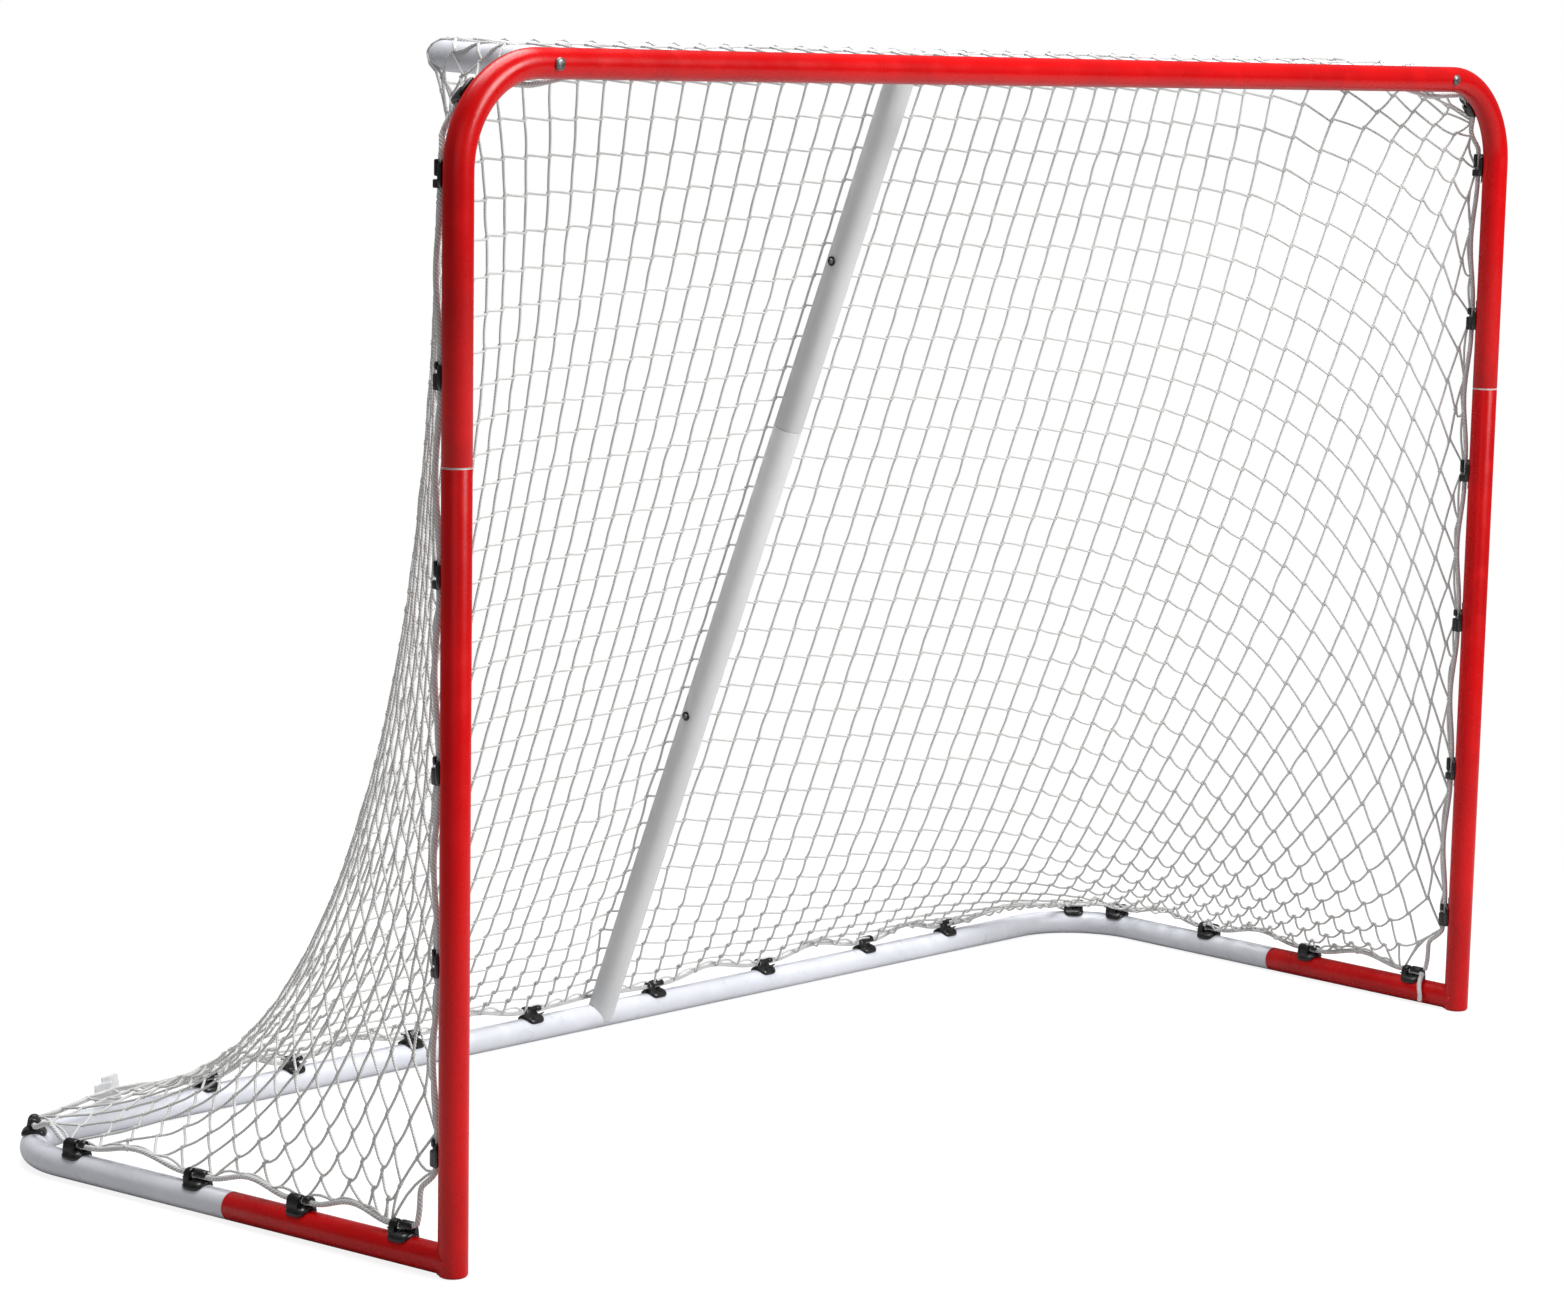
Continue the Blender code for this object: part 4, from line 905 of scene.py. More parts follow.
def clip_points():
    """A point for each clip, with the turn that sets it on its tube. Every other clip is end for end."""
    places, turns, names = [], [], []
    for side in SIDES:
        for index, held in enumerate(half_route(side)):
            if not held["name"]:
                continue
            direction = held["direction"] if index % 2 else -held["direction"]
            normal = held["normal"]
            turn = Matrix((direction, normal.cross(direction), normal)).transposed()
            places.append(held["place"] + normal * held["lift"])
            turns.append(turn.to_euler())
            names.append(held["name"])
    return places, turns, names


def node_group(name, wanted):
    """A Geometry Nodes tree, and the sockets of its named inputs."""
    tree = bpy.data.node_groups.new(name, "GeometryNodeTree")
    for label, kind in wanted.items():
        tree.interface.new_socket(label, in_out="INPUT", socket_type=kind)
    tree.interface.new_socket("Geometry", in_out="OUTPUT", socket_type="NodeSocketGeometry")
    return tree, add(tree, "NodeGroupInput").outputs


def clip_tree():
    """Puts the clip's shape on every point, turned by the point's own turn."""
    tree, given = node_group("clips_on_tubes", {
        "Geometry": "NodeSocketGeometry", "Clip": "NodeSocketObject", "Finish": "NodeSocketMaterial",
    })
    shape = add(tree, "GeometryNodeObjectInfo", {"Object": given["Clip"]}).outputs["Geometry"]
    turn = add(tree, "GeometryNodeInputNamedAttribute", {"Name": "turn"}, data_type="FLOAT_VECTOR")
    spin = add(tree, "FunctionNodeEulerToRotation", {"Euler": turn})
    inputs = {"Points": given["Geometry"], "Instance": shape, "Rotation": spin}
    placed = add(tree, "GeometryNodeInstanceOnPoints", inputs)
    real = add(tree, "GeometryNodeRealizeInstances", {"Geometry": placed})
    made = add(tree, "GeometryNodeSetMaterial", {"Geometry": real, "Material": given["Finish"]})
    add(tree, "NodeGroupOutput", {"Geometry": made})
    return tree


def grown(name, source, tree, settings):
    """The plain mesh that a Geometry Nodes tree makes of a source mesh."""
    seed = stand(name + "_source", source)
    modifier = seed.modifiers.new("grow", "NODES")
    modifier.node_group = tree
    for item in tree.interface.items_tree:
        if item.item_type == "SOCKET" and item.in_out == "INPUT" and item.name in settings:
            modifier[item.identifier] = settings[item.name]
    bpy.context.view_layer.update()
    mesh = bpy.data.meshes.new_from_object(seed.evaluated_get(bpy.context.evaluated_depsgraph_get()))
    mesh.name = name
    bpy.data.objects.remove(seed, do_unlink=True)
    return mesh


def net_clips():
    """Every clip, as one piece for each part of the frame that carries them."""
    places, turns, names = clip_points()
    shape = clip_shape()
    tree = clip_tree()
    for word in ("crossbar", "corner", "post", "leg", "rail"):
        group = word + "_clips"
        chosen = [index for index, name in enumerate(names) if word in name]
        points = bpy.data.meshes.new(group + "_points")
        points.from_pydata([places[index] for index in chosen], [], [])
        turn = points.attributes.new("turn", "FLOAT_VECTOR", "POINT")
        turn.data.foreach_set("vector", np.array([turns[index] for index in chosen], np.float32).ravel())
        made = grown(group, points, tree, {"Clip": shape, "Finish": BLACK_NYLON})
        place_piece(group, made, [names[index] for index in chosen])
    bpy.data.objects.remove(shape, do_unlink=True)


# Border rope


def loose_end(held):
    """The rope's end beyond a clip on a leg: it turns over the inner side of the tube and hangs down."""
    inwards = Vector((-math.copysign(1, held["place"].x), 0, 0))
    far = ROPE_R + 0.001
    points = []
    for step in range(10):
        share = step / 9
        turn = math.radians(90 * share)
        radius = TUBE_R + ROPE_HEIGHT + (far - ROPE_HEIGHT) * share
        axis = held["place"] - held["direction"] * (CLIP_LENGTH / 2 + ROPE_R + 3 * ROPE_R * share)
        points.append(axis + (held["normal"] * math.cos(turn) + inwards * math.sin(turn)) * radius)
    return points + [points[-1] - held["normal"] * drop for drop in (0.003, 0.006, 0.009)]


def rope_line():
    """The whole border: from just above the right foot clip, up, round by the left, and back to that clip."""
    route = half_route("right")
    foot = next(index for index, held in enumerate(route) if held["name"].startswith("clip_leg"))
    rising, returning, left = [], [], []
    for index, (before, after) in enumerate(zip(route, route[1:]), 1):
        run = stretch(before, after)
        if index > foot:
            returning += run
        else:
            rising += run[:-1] if index == foot else run
    route_left = half_route("left")
    for before, after in zip(route_left, route_left[1:]):
        left += stretch(before, after)
    return rising[::-1] + left + returning[::-1] + loose_end(route[foot])


def strand_tree(name):
    """Skins lines with a round strand, and keeps the length run and the turn round it for the finish."""
    tree, given = node_group(name, {
        "Geometry": "NodeSocketGeometry", "Diameter": "NodeSocketFloat", "Sides": "NodeSocketInt",
        "Knot": "NodeSocketObject", "Finish": "NodeSocketMaterial",
    })
    is_knot = add(tree, "GeometryNodeInputNamedAttribute", {"Name": "knot"}, data_type="BOOLEAN")
    parts = add(tree, "GeometryNodeSeparateGeometry", {"Geometry": given["Geometry"], "Selection": is_knot})
    lines = add(tree, "GeometryNodeMeshToCurve", {"Mesh": parts.outputs["Inverted"]})
    radius = add(tree, "ShaderNodeMath", {0: given["Diameter"], 1: 0.5}, operation="MULTIPLY")
    ring = add(tree, "GeometryNodeCurvePrimitiveCircle", {"Resolution": given["Sides"], "Radius": radius})
    kept = []
    for curve, label, measure in ((lines, "Run", "Length"), (ring, "Turn", "Factor")):
        spline = add(tree, "GeometryNodeSplineParameter")
        keep = add(tree, "GeometryNodeCaptureAttribute", {"Geometry": curve})
        keep.capture_items.new("FLOAT", label)
        feed(tree, keep, {1: spline.outputs[measure]})
        kept.append(keep)
    run, turn = kept
    profile = {"Curve": run.outputs[0], "Profile Curve": turn.outputs[0], "Fill Caps": True}
    strand = add(tree, "GeometryNodeCurveToMesh", profile)
    for label, keep in (("along", run), ("around", turn)):
        noted = {"Geometry": strand, "Name": label, "Value": keep.outputs[1]}
        strand = add(tree, "GeometryNodeStoreNamedAttribute", noted, data_type="FLOAT", domain="POINT")
    shape = add(tree, "GeometryNodeObjectInfo", {"Object": given["Knot"]}).outputs["Geometry"]
    twist = add(tree, "GeometryNodeInputNamedAttribute", {"Name": "turn"}, data_type="FLOAT_VECTOR")
    size = add(tree, "GeometryNodeInputNamedAttribute", {"Name": "size"}, data_type="FLOAT_VECTOR")
    spin = add(tree, "FunctionNodeEulerToRotation", {"Euler": twist})
    at_knots = {"Points": parts.outputs["Selection"], "Instance": shape, "Rotation": spin, "Scale": size}
    knots = add(tree, "GeometryNodeInstanceOnPoints", at_knots)
    joined = add(tree, "GeometryNodeJoinGeometry")
    for part in (strand, knots):
        feed(tree, joined, {0: part})
    real = add(tree, "GeometryNodeRealizeInstances", {"Geometry": joined})
    smooth = add(tree, "GeometryNodeSetShadeSmooth", {"Geometry": real})
    made = add(tree, "GeometryNodeSetMaterial", {"Geometry": smooth, "Material": given["Finish"]})
    add(tree, "NodeGroupOutput", {"Geometry": made})
    return tree


def line_mesh(name, lines, knots=(), turns=(), sizes=()):
    """Chains of points joined by edges, and lone points for the knots."""
    points, edges = [], []
    for line in lines:
        first = len(points)
        points += [tuple(point) for point in line]
        edges += [(index, index + 1) for index in range(first, first + len(line) - 1)]
    plain = len(points)
    points += [tuple(point) for point in knots]
    mesh = bpy.data.meshes.new(name)
    mesh.from_pydata(points, edges, [])
    flags = np.zeros(len(points), bool)
    flags[plain:] = True
    mesh.attributes.new("knot", "BOOLEAN", "POINT").data.foreach_set("value", flags)
    for label, given in (("turn", turns), ("size", sizes)):
        values = np.zeros((len(points), 3), np.float32)
        if len(given):
            values[plain:] = given
        mesh.attributes.new(label, "FLOAT_VECTOR", "POINT").data.foreach_set("vector", values.ravel())
    return mesh


def smoothed(points):
    """The same line with its corners eased and its doubled points left out."""
    line = np.array([tuple(point) for point in points])
    line = line[np.concatenate([[True], np.linalg.norm(np.diff(line, axis=0), axis=1) > 0.0004])]
    line[1:-1] = (line[:-2] + 2 * line[1:-1] + line[2:]) / 4
    return line


def border_rope(tree):
    """The whole border rope, one braided cord."""
    source = line_mesh("border_rope_line", [smoothed(rope_line())])
    made = grown("border_rope_braid", source, tree, {"Diameter": 2 * ROPE_R, "Sides": 12, "Finish": ROPE})
    place_piece("border_rope_braid", made, ["border_rope"])


# Netting


def part_way(line, shares):
    """Points at shares of a line's length."""
    line = np.array([tuple(point) for point in line])
    run = np.concatenate([[0], np.cumsum(np.linalg.norm(np.diff(line, axis=0), axis=1))])
    wanted = np.asarray(shares) * run[-1]
    return np.stack([np.interp(wanted, run, line[:, axis]) for axis in range(3)], axis=-1)


def border_lines(side):
    """The net's edge on one side in four parts: crossbar, post, leg and rear rail."""
    route = half_route(side)
    parts = {"bar": [], "post": [], "leg": [], "rail": []}
    for before, after in zip(route, route[1:]):
        run = stretch(before, after, NET_STANDOFF)
        name = after["name"]
        if "post" in name:
            parts["post"] += run
        elif "leg" in name and "post" in before["name"]:
            parts["post"] += run[: len(run) // 2 + 1]
            parts["leg"] += run[len(run) // 2:]
        elif "leg" in name or "rear_corner" in name:
            parts["leg"] += run
        elif before["normal"].y > 0.5 and after["normal"].y > 0.5:
            parts["bar"] += run
        else:
            parts["rail"] += run
    return {key: np.array([tuple(point) for point in line]) for key, line in parts.items()}


def extra_columns(row, side):
    """How many columns a row has beyond the crossbar's on one side. The netting is widest at the feet."""
    if row > FOOT_ROW[side]:
        return min(FOOT_SPREAD[side], round((NET_ROWS - row) * LEG_TAPER[side]))
    below_corner = row - CORNER_ROWS
    widening = (FOOT_SPREAD[side] - CORNER_SPREAD[side]) / (FOOT_ROW[side] - CORNER_ROWS - 2)
    slow = CORNER_SPREAD[side] + widening * (below_corner - 2)
    return max(0, min(2 * below_corner + 1, round(slow)))


def net_knots():
    """The knots as {(row, column): index}. Columns run from the left, and those outside the crossbar's width
    are below 0 or above NET_COLUMNS."""
    index = {}
    for row in range(NET_ROWS + 1):
        for column in range(-extra_columns(row, "left"), NET_COLUMNS + extra_columns(row, "right") + 1):
            index[row, column] = len(index)
    return index


def row_ends(side):
    """Where each row is held on one side: at the bend clip, then down the post and along the leg."""
    lines = border_lines(side)
    shares = []
    foot = FOOT_ROW[side]
    for row in range(foot):
        if row < CORNER_ROWS:
            shares.append(CORNER_STEP * row)
        else:
            even = 0.02 + 0.96 * (row - CORNER_ROWS) / (foot - 1 - CORNER_ROWS)
            uneven = ROW_UNEVEN * math.sin(2.4 * row + len(side))
            shares.append(even + uneven)
    gathered = FOOT_CLIP_SHARE + FOOT_STEP * np.arange(FOOT_GATHER)
    spread = NET_ROWS - foot + 1 - FOOT_GATHER
    legs = np.concatenate([gathered, np.linspace(FOOT_CLIP_SHARE + 0.06, 1.0, spread)])
    return np.concatenate([part_way(lines["post"], shares), part_way(lines["leg"], legs)])


def net_start(index):
    """Where each knot starts, and which ones are held on the rope."""
    borders = {side: border_lines(side) for side in SIDES}
    top = np.concatenate([borders["left"]["bar"][::-1], borders["right"]["bar"][1:]])
    bottom = np.concatenate([borders["left"]["rail"], borders["right"]["rail"][::-1][1:]])
    tops = part_way(top, np.linspace(0, 1, NET_COLUMNS + 1))
    bottoms = part_way(bottom, np.linspace(0, 1, NET_COLUMNS + 1))
    ends = {side: row_ends(side) for side in SIDES}
    places = np.zeros((len(index), 3))
    held = np.zeros(len(index), bool)
    for (row, column), number in index.items():
        side = "left" if column < NET_COLUMNS / 2 else "right"
        extra = extra_columns(row, side)
        outwards = max(-column, column - NET_COLUMNS)
        inner = min(max(column, 0), NET_COLUMNS)
        over = (tops[inner][0], SHELF_Y + START_RISE, SHELF_Z + START_RISE)
        places[number] = part_way([tops[inner], over, bottoms[inner]], [row / NET_ROWS])[0]
        held[number] = row in (0, NET_ROWS) or outwards >= extra
        if row in (0, NET_ROWS) or outwards < 0:
            continue
        end = ends[side][row]
        if outwards >= extra:
            places[number] = end
        elif outwards > 0 and (row - 1, column) not in index:
            places[number] = (end + ends[side][row - 1]) / 2
            held[number] = True
        elif outwards > 0 and (row + 1, column) not in index:
            places[number] = (end + ends[side][row + 1]) / 2
            held[number] = True
        else:
            places[number] += (end - places[number]) * outwards / max(extra, 1)
    return places, held


def net_bars(index):
    """Pairs of neighbouring knots, by number."""
    bars = []
    for row, column in index:
        for beside in ((row + 1, column), (row, column + 1)):
            if beside in index:
                bars.append((index[row, column], index[beside]))
    return np.array(bars)


def frame_bars():
    """(start, end, radius) of the tubes that the net passes outside of: the brace, then the shelf."""
    low, high = brace_ends()
    room = TWINE_D / 2 + 0.0004
    found = [(np.array(low), np.array(high), BRACE_R + room)]
    shelf = [place for place, _ in bent_path(shelf_corners(), steps=6)]
    for start, end in zip(shelf, shelf[1:]):
        found.append((np.array(start), np.array(end), TUBE_R - SHELF_SINK))
    return found


def wrapped(points, shelf):
    """A strand's points, with those that have sunk into the shelf laid on its surface."""
    for start, end, radius in shelf:
        clear = radius + SHELF_SINK + TWINE_LAID
        axis = end - start
        for index, point in enumerate(points):
            share = min(max((point - start) @ axis / (axis @ axis), 0.0), 1.0)
            away = point - start - axis * share
            length = np.linalg.norm(away)
            if length < clear:
                points[index] = point + away * (clear / max(length, 1e-6) - 1)
    top = SHELF_Z + TUBE_R + TWINE_LAID
    return [np.array([*point[:2], min(point[2], top)]) for point in points]


def nearest(first, second, start, end):
    """Each bar's share and its offset from a tube's axis, where they are nearest."""
    along = second - first
    axis = end - start
    gap = first - start
    a = (along * along).sum(1)
    b = along @ axis
    c = axis @ axis
    d = (along * gap).sum(1)
    e = gap @ axis
    share = np.clip((b * e - c * d) / np.maximum(a * c - b * b, 1e-12), 0, 1)
    reach = np.clip((b * share + e) / c, 0, 1)
    share = np.clip((b * reach - d) / np.maximum(a, 1e-12), 0, 1)
    return share, first + along * share[:, None] - start - axis * reach[:, None]


def hold_off(places, free, bars, tubes, close):
    """Pushes bars that have run into a tube back to its surface."""
    for (start, end, radius), chosen in zip(tubes, close):
        if not len(chosen):
            continue
        pair = bars[chosen]
        share, away = nearest(places[pair[:, 0]], places[pair[:, 1]], start, end)
        length = np.linalg.norm(away, axis=1)
        push = np.maximum(radius - length, 0) / np.maximum(length, 1e-9)
        hit = push > 0
        if not hit.any():
            continue
        weight = np.maximum((1 - share) ** 2 + share**2, 0.5)
        move = away * (push / weight)[:, None]
        np.add.at(places, pair[hit, 0], (move * (1 - share)[:, None] * free[pair[:, 0]][:, None])[hit] * 0.5)
        np.add.at(places, pair[hit, 1], (move * share[:, None] * free[pair[:, 1]][:, None])[hit] * 0.5)


def near_tubes(places, bars, tubes):
    """For each tube, which bars are near enough to run into it soon."""
    middle = places[bars].mean(1)
    close = []
    for start, end, radius in tubes:
        low = np.minimum(start, end) - radius - NEAR_TUBE
        high = np.maximum(start, end) + radius + NEAR_TUBE
        close.append(np.nonzero(((middle > low) & (middle < high)).all(1))[0])
    return close


def corner_bars(bars, names):
    """Which bars run over the shelf's bends to the bend clips, where the twine is drawn together."""
    found = []
    for first, _ in bars:
        row, column = names[first]
        outwards = max(-column, column - NET_COLUMNS)
        found.append(row <= CORNER_ROWS + 1 and outwards >= -3)
    return np.array(found)


def settle(places, held, bars, rounds, even_pull):
    """Moves the free knots until the pulls balance. A bar pulls hard only beyond its twine's length."""
    free = (~held).astype(float)
    tubes = frame_bars()
    speed = np.zeros_like(places)
    count = len(places)
    for turn in range(rounds):
        if turn % NEAR_ROUNDS == 0:
            close = near_tubes(places, bars, tubes)
        along = places[bars[:, 1]] - places[bars[:, 0]]
        length = np.linalg.norm(along, axis=1)
        stiff = even_pull + np.maximum(1 - MESH_BAR / np.maximum(length, 1e-9), 0)
        pull = along * stiff[:, None]
        near = even_pull + (length > MESH_BAR)
        force = np.empty_like(places)
        for axis in range(3):
            force[:, axis] = np.bincount(bars[:, 0], pull[:, axis], count)
            force[:, axis] -= np.bincount(bars[:, 1], pull[:, axis], count)
        total = np.bincount(bars[:, 0], near, count) + np.bincount(bars[:, 1], near, count)
        force[:, 2] -= NET_WEIGHT
        speed = SPEED_KEPT * speed + SPEED_GAIN * force / np.maximum(total, 1e-9)[:, None]
        size = np.linalg.norm(speed, axis=1, keepdims=True)
        speed *= np.minimum(1, SPEED_LIMIT / np.maximum(size, 1e-12))
        speed *= free[:, None]
        before = places.copy()
        places += speed
        hold_off(places, free, bars, tubes, close)
        speed = places - before
    return places


def knot_shape():
    """A netting knot, about 2 units wide: one closed loop of twine drawn through itself."""
    steps, sides = 12, 4
    centres = []
    for turn in circle(steps):
        x = 0.60 * (math.sin(turn) + 2 * math.sin(2 * turn)) / 3
        y = 0.60 * (math.cos(turn) - 2 * math.cos(2 * turn)) / 3
        z = -0.32 * math.sin(3 * turn)
        centres.append(Vector((x, y, z)))

    def build(bm):
        rings = []
        for step, centre in enumerate(centres):
            direction = (centres[(step + 1) % steps] - centres[step - 1]).normalized()
            across = direction.cross(UP)
            across = (across if across.length > 0.1 else direction.cross(ACROSS)).normalized()
            other = direction.cross(across)
            spokes = [math.cos(turn) * across + math.sin(turn) * other for turn in circle(sides)]
            rings.append([bm.verts.new(centre + 0.36 * spoke) for spoke in spokes])
        skin(bm, rings + [rings[0]], closed=False)
        bmesh.ops.recalc_face_normals(bm, faces=bm.faces)

    return stand("knot_shape", mesh_from("knot_shape", build))


def bar_line(start, end, sag, rng, steps=4):
    """A bar of twine from knot to knot. Spare length hangs, and the twist leaves it a little crooked."""
    along = end - start
    length = np.linalg.norm(along)
    spare = max(MESH_BAR - KNOT_TAKES - length, 0.0)
    drop = math.sqrt(0.375 * spare * max(length, 1e-6)) * 0.8
    crook = rng.normal(0, TWINE_CROOK, 3)
    points = []
    for step in range(steps + 1):
        share = step / steps
        bend = math.sin(math.pi * share)
        points.append(start + along * share + bend * (sag * drop + crook))
    return points


def edge_pairs(index):
    """Pairs of neighbouring knots on the rope, with the panel that they edge and a knot further in."""
    pairs = []
    for row in range(CORNER_ROWS, NET_ROWS):
        for side, outermost in (("left", min), ("right", max)):
            here = outermost(column for line, column in index if line == row)
            after = outermost(column for line, column in index if line == row + 1)
            inner = here + (3 if side == "left" else -3)
            pairs.append((f"net_side_{side}", index[row, here], index[row + 1, after], index[row, inner]))
    for column in range(NET_COLUMNS):
        ends = index[NET_ROWS, column], index[NET_ROWS, column + 1]
        pairs.append((panel_of(NET_ROWS, column), *ends, index[NET_ROWS - 3, column]))
    return pairs


def bowed_line(start, end, bow, steps=5):
    """The outermost strand between two knots on the rope, slack and bowed into the net."""
    points = []
    for step in range(steps + 1):
        share = step / steps
        points.append(start + (end - start) * share + bow * math.sin(math.pi * share))
    return points


def panel_of(row, column):
    """The panel that the mesh to the right of and below a knot belongs to."""
    if column < NET_SIDE_COLUMNS:
        return "net_side_left"
    if column >= NET_COLUMNS - NET_SIDE_COLUMNS:
        return "net_side_right"
    if row < NET_TOP_ROWS:
        return "net_top"
    return "net_back_left" if column < NET_COLUMNS // 2 else "net_back_right"


def settled_net():
    """The net at rest: where its knots lie, which are held, its bars and the way that its columns run."""
    index = net_knots()
    places, held = net_start(index)
    bars = net_bars(index)
    names = {number: key for key, number in index.items()}
    drawn = corner_bars(bars, names)
    pulls = np.where(drawn, NET_CORNER_PULL, NET_EVEN_PULL)
    places = settle(places, held, bars, NET_ROUNDS, pulls)
    places[:, 2] = np.minimum(places[:, 2], SHELF_Z + TUBE_R)
    down = {}
    for (row, column), number in index.items():
        above = index.get((row - 1, column), number)
        below = index.get((row + 1, column), number)
        run = places[below] - places[above]
        down[number] = run / max(np.linalg.norm(run), 1e-9)
    return SimpleNamespace(
        index=index, names=names, places=places, held=held, bars=bars, drawn=drawn, down=down,
    )


def net_strands(net, rng):
    """Each panel's lines of twine: the bars from knot to knot, then the outermost strand along the rope."""
    places, held, down = net.places, net.held, net.down
    lines = {name: [] for name in PANELS}
    shelf = frame_bars()[1:]
    for (first, second), gathered in zip(net.bars, net.drawn):
        row, column = net.names[first]
        if held[first] and held[second] and row > 0:
            continue
        start, end = places[first].copy(), places[second].copy()
        if net.names[second][0] == row:
            start -= down[first] * KNOT_HALF * (not held[first])
            end += down[second] * KNOT_HALF * (not held[second])
        line = bar_line(start, end, np.array([0, 0.1, -1.0]) * (DRAWN_SAG if gathered else 1.0), rng)
        lines[panel_of(row, column)].append(wrapped(line, shelf) if start[2] > SHELF_Z - SHELF_NEAR else line)
    for name, first, second, inner in edge_pairs(net.index):
        inwards = places[inner] - places[first]
        inwards /= max(np.linalg.norm(inwards), 1e-9)
        bow = SELVEDGE_BOW * min(1.0, np.linalg.norm(places[second] - places[first]) / 0.035)
        lines[name].append(bowed_line(places[first], places[second], inwards * bow))
    return lines


def net_ties(net, rng):
    """Each panel's knots: their places, turns and sizes. A knot's Y runs down its column."""
    places, down = net.places, net.down
    knots = {name: ([], [], []) for name in PANELS}
    for (row, column), number in net.index.items():
        beside = net.index.get((row, column + 1), net.index.get((row, column - 1), number))
        across = places[beside] - places[number]
        if (row, column + 1) not in net.index:
            across = -across
        normal = np.cross(across, down[number])
        if np.linalg.norm(normal) < 1e-9 or np.linalg.norm(across) < 1e-9:
            continue
        normal /= np.linalg.norm(normal)
        side = np.cross(down[number], normal)
        turn = Matrix(np.stack([side, down[number], normal], axis=1).tolist())
        length = EDGE_KNOT_LENGTH if net.held[number] else KNOT_LENGTH
        size = (KNOT_WIDTH, length + rng.normal(0, 0.0003), KNOT_WIDTH)
        for kept, value in zip(knots[panel_of(row, column)], (places[number], turn.to_euler(), size)):
            kept.append(value)
    return knots


def netting(tree):
    """The net's five panels, each one piece of strands and knots."""
    net = settled_net()
    rng = np.random.default_rng(7)
    lines = net_strands(net, rng)
    knots = net_ties(net, rng)
    shape = knot_shape()
    settings = {"Diameter": TWINE_D, "Sides": 6, "Knot": shape, "Finish": TWINE}
    for name, strands in lines.items():
        made = grown(name + "_twine", line_mesh(name + "_lines", strands, *knots[name]), tree, settings)
        place_piece(name + "_twine", made, [name])
    bpy.data.objects.remove(shape, do_unlink=True)


# Tag


def tag_leaf(bm, middle, lean, twist, width, height, shift):
    """One loose leaf of cloth that stands up from the rope, leans back or forth and turns a little."""
    columns, rows = 12, 14
    grid = []
    for row in range(rows + 1):
        share = row / rows
        line = []
        for column in range(columns + 1):
            across = column / columns - 0.5
            x = middle.x + shift + across * width * (1 - 0.04 * share)
            y = middle.y + lean * height * share**1.4 + twist * across * height * share
            y += 0.0009 * math.sin(5 * across + 3 * share + lean * 9) * share
            z = middle.z + height * share * (1 - 0.06 * abs(lean)) + 0.0008 * math.sin(4 * across) * share
            line.append(bm.verts.new((x, y, z)))
        grid.append(line)
    for lower, upper in zip(grid, grid[1:]):
        for column in range(columns):
            bm.faces.new([lower[column], lower[column + 1], upper[column + 1], upper[column]])


def net_tag():
    """Blank woven tag at the rope: two loose leaves of cloth that stand apart."""
    low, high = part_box("net_tag")
    middle = SimpleNamespace(x=(low.x + high.x) / 2, y=(low.y + high.y) / 2, z=low.z - TAG_DROP)

    def build(bm):
        width, height = TAG_WIDTH, TAG_HEIGHT
        tag_leaf(bm, middle, lean=0.16, twist=0.10, width=width * 0.56, height=height * 0.98, shift=0.0065)
        tag_leaf(bm, middle, lean=-0.03, twist=-0.08, width=width * 0.50, height=height * 0.78, shift=-0.0075)

    made = piece("blank_tag", build, [LABEL], ["net_tag"], 60)
    thick = made.modifiers.new("cloth_thickness", "SOLIDIFY")
    thick.thickness = TAG_CLOTH
    thick.offset = 0.0


# Floor, light and camera


def studio_floor():
    """A pale floor that shows a soft shadow and turns plain white away from the goal, like the background."""
    def build(bm):
        bmesh.ops.create_grid(bm, x_segments=1, y_segments=1, size=40.0)

    mesh = mesh_from("studio_floor", build)
    floor = stand("studio_floor", mesh)
    floor.location.z = -0.0002
    made, tree, shader, place = finish("studio_paper")
    feed(tree, shader, {"Base Color": linear("#BCBCBC"), "Roughness": 0.9, "Specular IOR Level": 0.0})
    soft = add(tree, "ShaderNodeBsdfDiffuse", {"Color": (0.20, 0.20, 0.20, 1.0)})
    glow = add(tree, "ShaderNodeEmission", {"Color": (1.0, 1.0, 1.0, 1.0), "Strength": 0.86})
    near = add(tree, "ShaderNodeAddShader", {0: soft, 1: glow})
    white = add(tree, "ShaderNodeEmission", {"Color": (1.0, 1.0, 1.0, 1.0), "Strength": 1.0})
    reach = add(tree, "ShaderNodeVectorMath", {0: place}, operation="LENGTH").outputs["Value"]
    fade = add(tree, "ShaderNodeMapRange", span(reach, 1.2, 1.9))
    seen = add(tree, "ShaderNodeMixShader", {0: fade, 1: near, 2: white})
    looked_at = add(tree, "ShaderNodeLightPath").outputs["Is Camera Ray"]
    mix = add(tree, "ShaderNodeMixShader", {0: looked_at, 1: shader, 2: seen})
    feed(tree, tree.nodes["Material Output"], {"Surface": mix})
    mesh.materials.append(made)


def white_world():
    """White to the camera, and a low even light on the goal."""
    world = bpy.data.worlds.new("white_room")
    world.use_nodes = True
    bpy.context.scene.world = world
    tree = world.node_tree
    looked_at = add(tree, "ShaderNodeLightPath").outputs["Is Camera Ray"]
    level = add(tree, "ShaderNodeMapRange", span(looked_at, 0.0, 1.0, ROOM_LIGHT, 1.0))
    feed(tree, tree.nodes["Background"], {"Strength": level, "Color": (1.0, 1.0, 1.0, 1.0)})


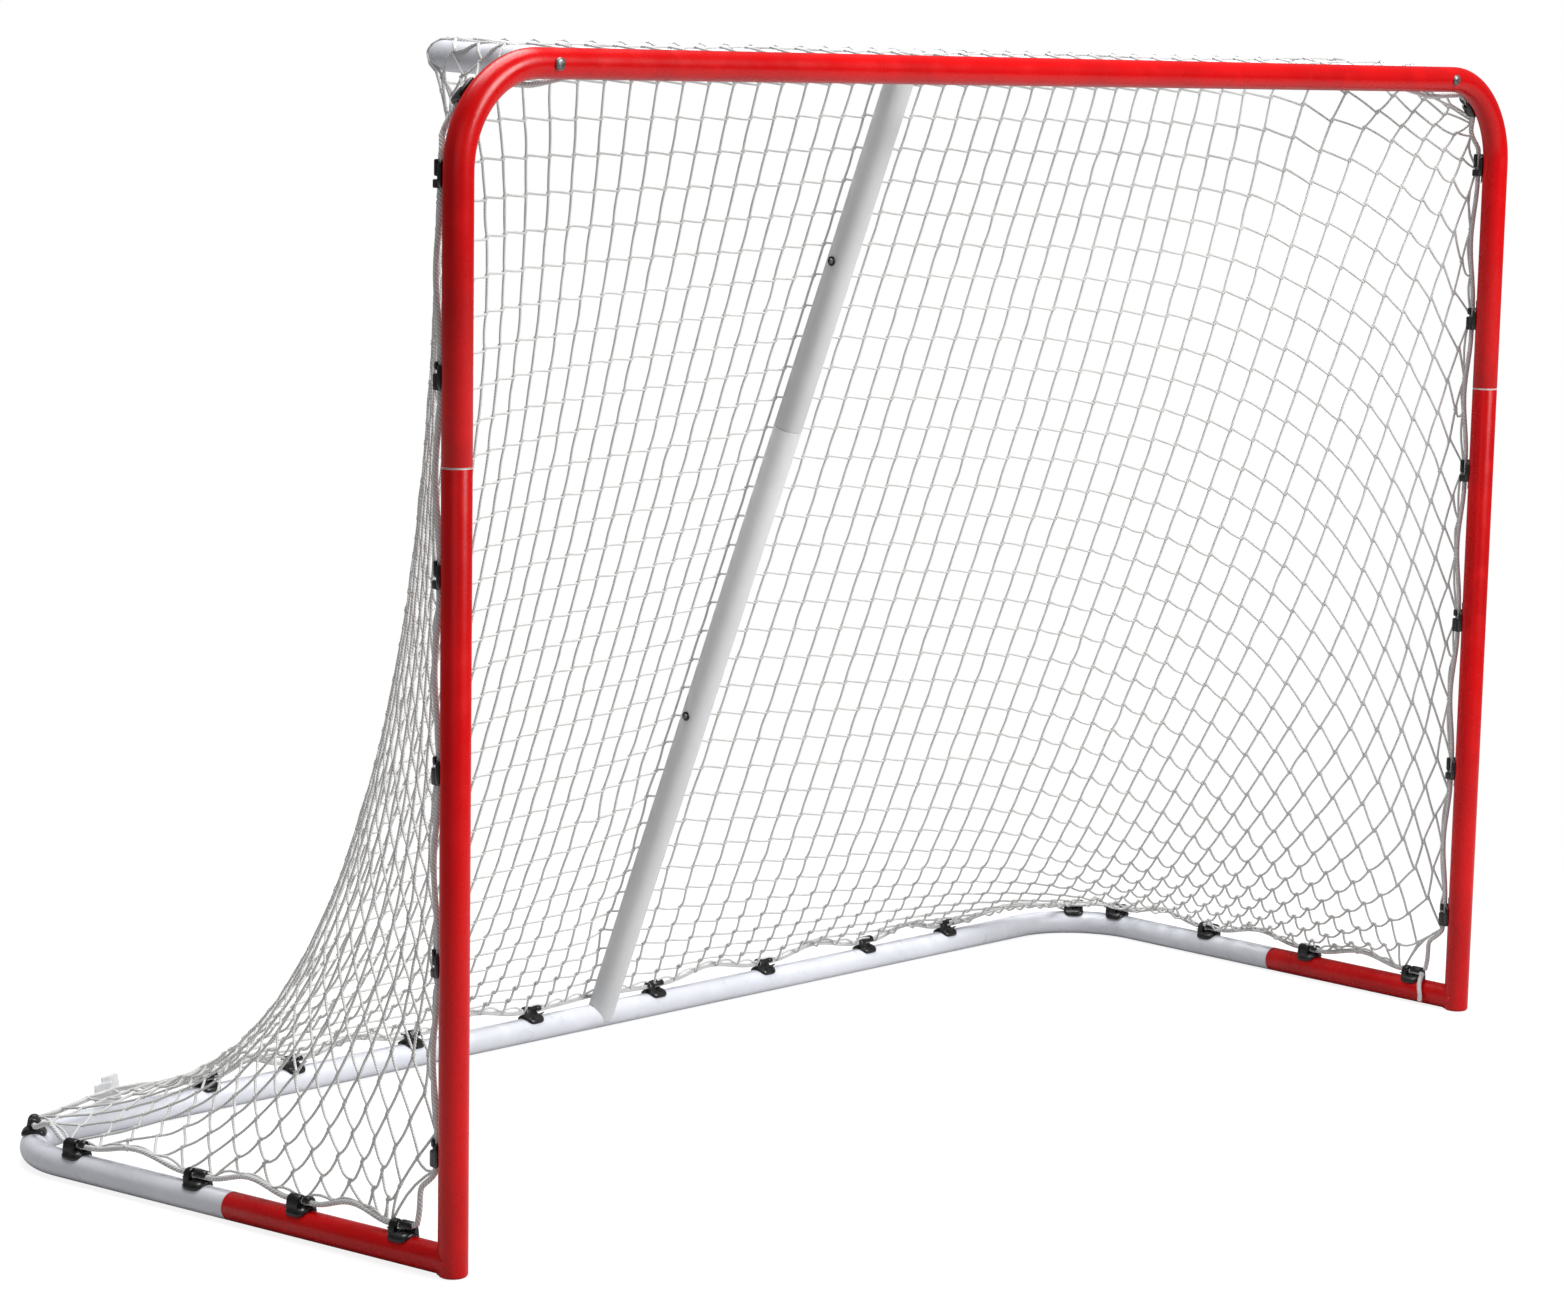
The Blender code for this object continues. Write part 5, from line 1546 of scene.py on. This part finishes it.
def softbox(name, place, aim, size, power):
    """A rectangular soft lamp that points at aim."""
    data = bpy.data.lights.new(name, "AREA")
    data.shape = "RECTANGLE"
    data.size, data.size_y = size
    data.energy = power
    lamp = stand(name, data)
    lamp.location = place
    lamp.rotation_euler = (Vector(aim) - Vector(place)).to_track_quat("-Z", "Y").to_euler()


def photo_camera():
    """From the front left, level with the crossbar and looking down a little. The picture is 1564 by 1312.

    Its place, lens and shift come from a fit to the edges of the tubes in the photograph."""
    data = bpy.data.cameras.new("photo_camera")
    data.sensor_fit = "HORIZONTAL"
    data.sensor_width = 36.0
    data.lens = 96.36
    data.shift_x = 0.0384
    data.shift_y = 0.0959
    data.clip_end = 100.0
    right = Vector((0.6868, -0.7267, 0.0158)).normalized()
    forward = Vector((0.7178, 0.6746, -0.1721)).normalized()
    up = right.cross(forward).normalized()
    turn = Matrix((right, up, -forward)).transposed().to_4x4()
    camera = stand("photo_camera", data)
    camera.matrix_world = Matrix.Translation((-3.6821, -3.3208, 1.1954)) @ turn
    bpy.context.scene.camera = camera


def build_scene():
    """Every piece of the goal, then the room, the lamps and the camera."""
    front_frame()
    for side in SIDES:
        lower_post(side)
    base_frame()
    top_shelf()
    brace()
    for side in SIDES:
        crossbar_bolt(side)
        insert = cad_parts[f"shelf_insert_{side}"].data
        insert.materials.clear()
        insert.materials.append(ZINC)
    for name in BRACE_SCREW_HEIGHTS:
        brace_screw(name)
    net_clips()
    strand = strand_tree("twine_along_lines")
    border_rope(strand)
    netting(strand)
    net_tag()
    studio_floor()
    white_world()
    softbox("key_right_front", (1.2, -4.6, 3.2), (0.0, 0.0, 0.6), (2.4, 2.0), 272.0)
    softbox("fill_left_front", (-3.6, -2.2, 2.2), (0.0, 0.0, 0.6), (2.4, 2.4), 7.0)
    softbox("top", (0.0, 0.6, 4.2), (0.0, 0.0, 0.4), (3.0, 3.0), 190.0)
    photo_camera()
    bpy.context.scene.view_settings.view_transform = "Standard"


build_scene()
bpy.context.view_layer.update()
